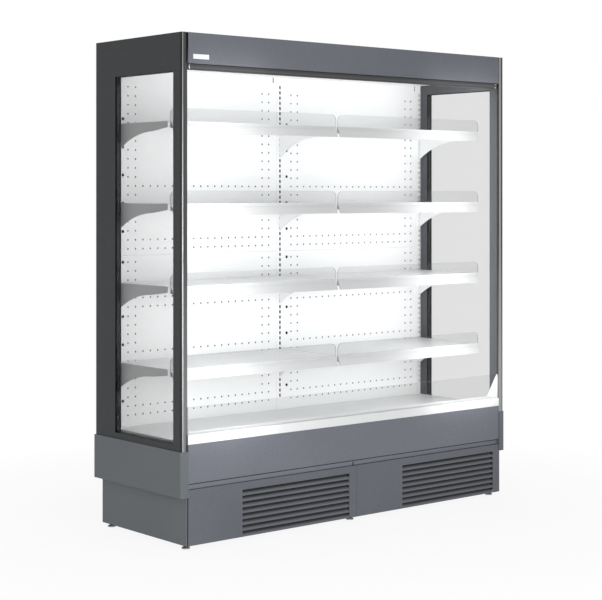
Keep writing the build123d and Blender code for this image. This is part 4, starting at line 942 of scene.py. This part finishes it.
def fin_tree():
    """Thin upright fins in a row along X from each point."""
    tree, given = geometry_tree("coil_fins", count=10, pitch=0.005, thick=0.0003, deep=0.1,
                                tall=0.1)
    fin = geometry(tree, "GeometryNodeMeshCube", [("Size", geometry(
        tree, "ShaderNodeCombineXYZ", [("X", given.outputs["thick"]), ("Y", given.outputs["deep"]),
                                       ("Z", given.outputs["tall"])]).outputs[0])])
    offset = geometry(tree, "ShaderNodeCombineXYZ", [("X", given.outputs["pitch"])])
    row = geometry(tree, "GeometryNodeMeshLine", [
        ("Count", given.outputs["count"]), ("Offset", offset.outputs[0])])
    fins = geometry(tree, "GeometryNodeInstanceOnPoints", [
        ("Points", row.outputs[0]), ("Instance", fin.outputs["Mesh"])])
    placed = geometry(tree, "GeometryNodeInstanceOnPoints", [
        ("Points", given.outputs["Geometry"]), ("Instance", fins.outputs[0])])
    return close_tree(tree, given, placed.outputs[0])


def bend_tree():
    """Return bends of a coil: half rings of tube whose plane holds the way they face."""
    tree, given = geometry_tree("return_bends", radius=0.0125, tube=0.005)
    arc = geometry(tree, "GeometryNodeCurveArc", [("Radius", given.outputs["radius"])],
                   Resolution=12, Sweep_Angle=math.pi)
    stood = geometry(tree, "GeometryNodeTransform", [("Geometry", arc.outputs[0])],
                     Rotation=(math.radians(90), 0, 0))
    section = geometry(tree, "GeometryNodeCurvePrimitiveCircle", [
        ("Radius", given.outputs["tube"])], Resolution=10)
    bend = geometry(tree, "GeometryNodeCurveToMesh", [
        ("Curve", stood.outputs[0]), ("Profile Curve", section.outputs[0])])
    bend.inputs["Fill Caps"].default_value = True
    return close_tree(tree, given, on_points(tree, given, bend.outputs[0]))


black_paint = enamel("black_paint", (0.02, 0.02, 0.022), 0.35)
fan_plastic = enamel("fan_plastic", (0.03, 0.03, 0.032), 0.5)
box_plastic = enamel("box_plastic", (0.35, 0.36, 0.37), 0.5)
copper = brushed("copper", (0.72, 0.34, 0.2), 0.3, "X")
fin_metal = brushed("fin_metal", (0.68, 0.69, 0.7), 0.35, "Z")
dress(black_paint, "compressor")
dress(fan_plastic, "evaporator_fan_left", "evaporator_fan_right", "condenser_fan")
dress(box_plastic, "control_box")
dress(copper, "refrigerant_pipes")
dress(fin_metal, "evaporator", "condenser")
dress(zinc, "drip_tray")

wire_guard = guard_tree()
GUARD_OUT = 0.0025
plate_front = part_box("fan_plate")[0].y
for side in ("left", "right"):
    low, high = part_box("evaporator_fan_" + side)
    hub = (low + high) / 2
    grown("fan_guard_" + side, wire_guard, roller_metal, "cabinet", "galvanised_steel",
          [(hub.x, plate_front - GUARD_OUT, hub.z)], (0, -1, 0), radius=0.064)

coil_fins = fin_tree()
coil_low, coil_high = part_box("evaporator")
COIL_LAP = 0.005
COIL_LIFT = 0.01
COIL_FIN_PITCH = 0.005
COIL_START = -0.86
FIN_SHORT = 0.002         # fins end this much short of their space
coil_middle = (coil_low + coil_high) / 2
fin_deep = coil_high.y - coil_low.y - 2 * COIL_LAP
fin_tall = coil_high.z - coil_low.z - COIL_LAP - COIL_LIFT
fin_z = coil_low.z + COIL_LIFT + fin_tall / 2
evaporator_starts = [(COIL_START + k * COIL_FIN_PITCH, coil_middle.y, fin_z)
                     for k in (1, 2, 3)]
grown("evaporator_fins", coil_fins, fin_metal, "cabinet", "fin_metal", evaporator_starts,
      count=86, pitch=4 * COIL_FIN_PITCH, deep=fin_deep, tall=fin_tall - FIN_SHORT)
return_bends = bend_tree()
BEND = 0.0125
TUBES_DEEP = 4
TUBE_RISE = 0.028
for side in (-1, 1):
    points = [(side * coil_high.x, coil_low.y + COIL_LAP + fin_deep * (i + 0.5) / TUBES_DEEP,
               fin_z + dz) for i in range(TUBES_DEEP) for dz in (-TUBE_RISE, TUBE_RISE)]
    grown("return_bends_left" if side < 0 else "return_bends_right", return_bends, copper,
          "cabinet", "copper_pipe", points, (side, 0, 0), radius=BEND)
cond_low, cond_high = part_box("condenser")
CONDENSER_DEEP = 0.048
CONDENSER_START = -0.628
CONDENSER_FIN_PITCH = 0.003
condenser_z = (cond_low.z + COIL_LIFT + cond_high.z) / 2
condenser_starts = [(CONDENSER_START + k * CONDENSER_FIN_PITCH, cond_low.y + CONDENSER_DEEP / 2,
                     condenser_z) for k in (1, 2, 3)]
grown("condenser_fins", coil_fins, fin_metal, "cabinet", "fin_metal", condenser_starts,
      count=23, pitch=4 * CONDENSER_FIN_PITCH, deep=CONDENSER_DEEP,
      tall=cond_high.z - cond_low.z - COIL_LIFT - FIN_SHORT)
box_low, box_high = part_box("control_box")
LID_ASIDE = 0.012
LID_LOW = 0.014
LID_TOP = 0.022
lid_points = [(x, box_low.y, z) for x in (box_low.x + LID_ASIDE, box_high.x - LID_ASIDE)
              for z in (box_low.z + LID_LOW, box_high.z - LID_TOP)]
grown("control_box_screws", pan_screws, zinc, "cabinet", "galvanised_steel", lid_points,
      (0, -1, 0))


# Camera
# The photograph's view: level, from the front left, with the lens shifted down.

camera_data = bpy.data.cameras.new("camera")
camera_data.sensor_width = 36
camera_data.lens = 93.32
camera_data.shift_y = -0.1755
camera_data.clip_end = 60
camera = bpy.data.objects.new("camera", camera_data)
camera.location = (-4.7220, -5.5855, 1.4774)
camera.rotation_euler = (math.radians(90), 0, math.radians(-39.887))
scene.collection.objects.link(camera)
scene.camera = camera


# Studio
# A pale floor that keeps the cabinet's shadow and fades to white, a white room, a broad
# soft light in front, and hidden soft lights that face the display, the deck and down.

def only_seen(tree):
    """1 for rays from the camera, and for those that metal and glass send on."""
    path = tree.nodes.new("ShaderNodeLightPath")
    seen = maths(tree, "MAXIMUM", path.outputs["Is Camera Ray"], path.outputs["Is Glossy Ray"])
    return maths(tree, "MAXIMUM", seen, path.outputs["Is Transmission Ray"])


def two_ways(tree, factor, first, second, output):
    """Join two shaders by a factor and send them to the output."""
    blend = tree.nodes.new("ShaderNodeMixShader")
    tree.links.new(factor, blend.inputs[0])
    tree.links.new(first.outputs[0], blend.inputs[1])
    tree.links.new(second.outputs[0], blend.inputs[2])
    tree.links.new(blend.outputs[0], output.inputs["Surface"])


floor_mesh = bpy.data.meshes.new("floor")
REACH = 14
floor_mesh.from_pydata([(-REACH, -REACH, 0), (REACH, -REACH, 0), (REACH, REACH, 0),
                        (-REACH, REACH, 0)], [], [(0, 1, 2, 3)])
floor = bpy.data.objects.new("floor", floor_mesh)
scene.collection.objects.link(floor)
floor_material = bpy.data.materials.new("floor")
floor_material.use_nodes = True
tree = floor_material.node_tree
tree.nodes.clear()
output = tree.nodes.new("ShaderNodeOutputMaterial")
matt = tree.nodes.new("ShaderNodeBsdfDiffuse")
matt.inputs["Color"].default_value = (0.9, 0.9, 0.9, 1)
glow = tree.nodes.new("ShaderNodeEmission")
glow.inputs["Color"].default_value = (1, 1, 1, 1)
distance = tree.nodes.new("ShaderNodeVectorMath")
distance.operation = "LENGTH"
tree.links.new(object_point(tree), distance.inputs[0])
white_share = spread(tree, distance.outputs["Value"], 0.9, 2.4, 0.9, 1.0)
two_ways(tree, maths(tree, "MULTIPLY", white_share, only_seen(tree)), matt, glow, output)
floor_mesh.materials.append(floor_material)

world = bpy.data.worlds.new("world")
scene.world = world
world.use_nodes = True
tree = world.node_tree
tree.nodes.clear()
output = tree.nodes.new("ShaderNodeOutputWorld")
room = tree.nodes.new("ShaderNodeBackground")
room.inputs["Strength"].default_value = 0.37
backdrop = tree.nodes.new("ShaderNodeBackground")
backdrop.inputs["Strength"].default_value = 1.0
for node in (room, backdrop):
    node.inputs["Color"].default_value = (1, 1, 1, 1)
two_ways(tree, only_seen(tree), room, backdrop, output)


def soft_light(name, place, aim, wide, tall, power, hidden=False):
    """A soft oblong light aimed at a point."""
    data = bpy.data.lights.new(name, "AREA")
    data.shape = "RECTANGLE"
    data.size = wide
    data.size_y = tall
    data.energy = power
    light = bpy.data.objects.new(name, data)
    light.location = place
    light.rotation_euler = (Vector(aim) - Vector(place)).to_track_quat("-Z", "Y").to_euler()
    light.visible_camera = False
    light.visible_glossy = not hidden
    light.visible_transmission = False
    scene.collection.objects.link(light)


soft_light("front_light", (-1.7, -3.1, 1.0), (-0.45, -0.3, 0.95), 1.8, 1.4, 56)
DISPLAY_MIDDLE = 1.245
for name, x, y, wide, tall, power in (
        ("display_light", 0, -0.3, 1.84, 1.56, 4.4),
        ("display_light_left", -0.72, -0.42, 0.4, 1.5, 4.4),
        ("display_light_right", 0.7, -0.42, 0.44, 1.5, 5.1)):
    soft_light(name, (x, y, DISPLAY_MIDDLE), (x, 1, DISPLAY_MIDDLE), wide, tall, power, True)
soft_light("deck_light", (0.05, -0.3, 0.62), (0.05, 0.3, 0.3), 1.8, 0.2, 0.4, True)
soft_light("canopy_light", (0, -0.2, 2.03), (0, 0.1, 1.0), 1.8, 0.06, 1.5, True)

scene.view_settings.view_transform = "Standard"
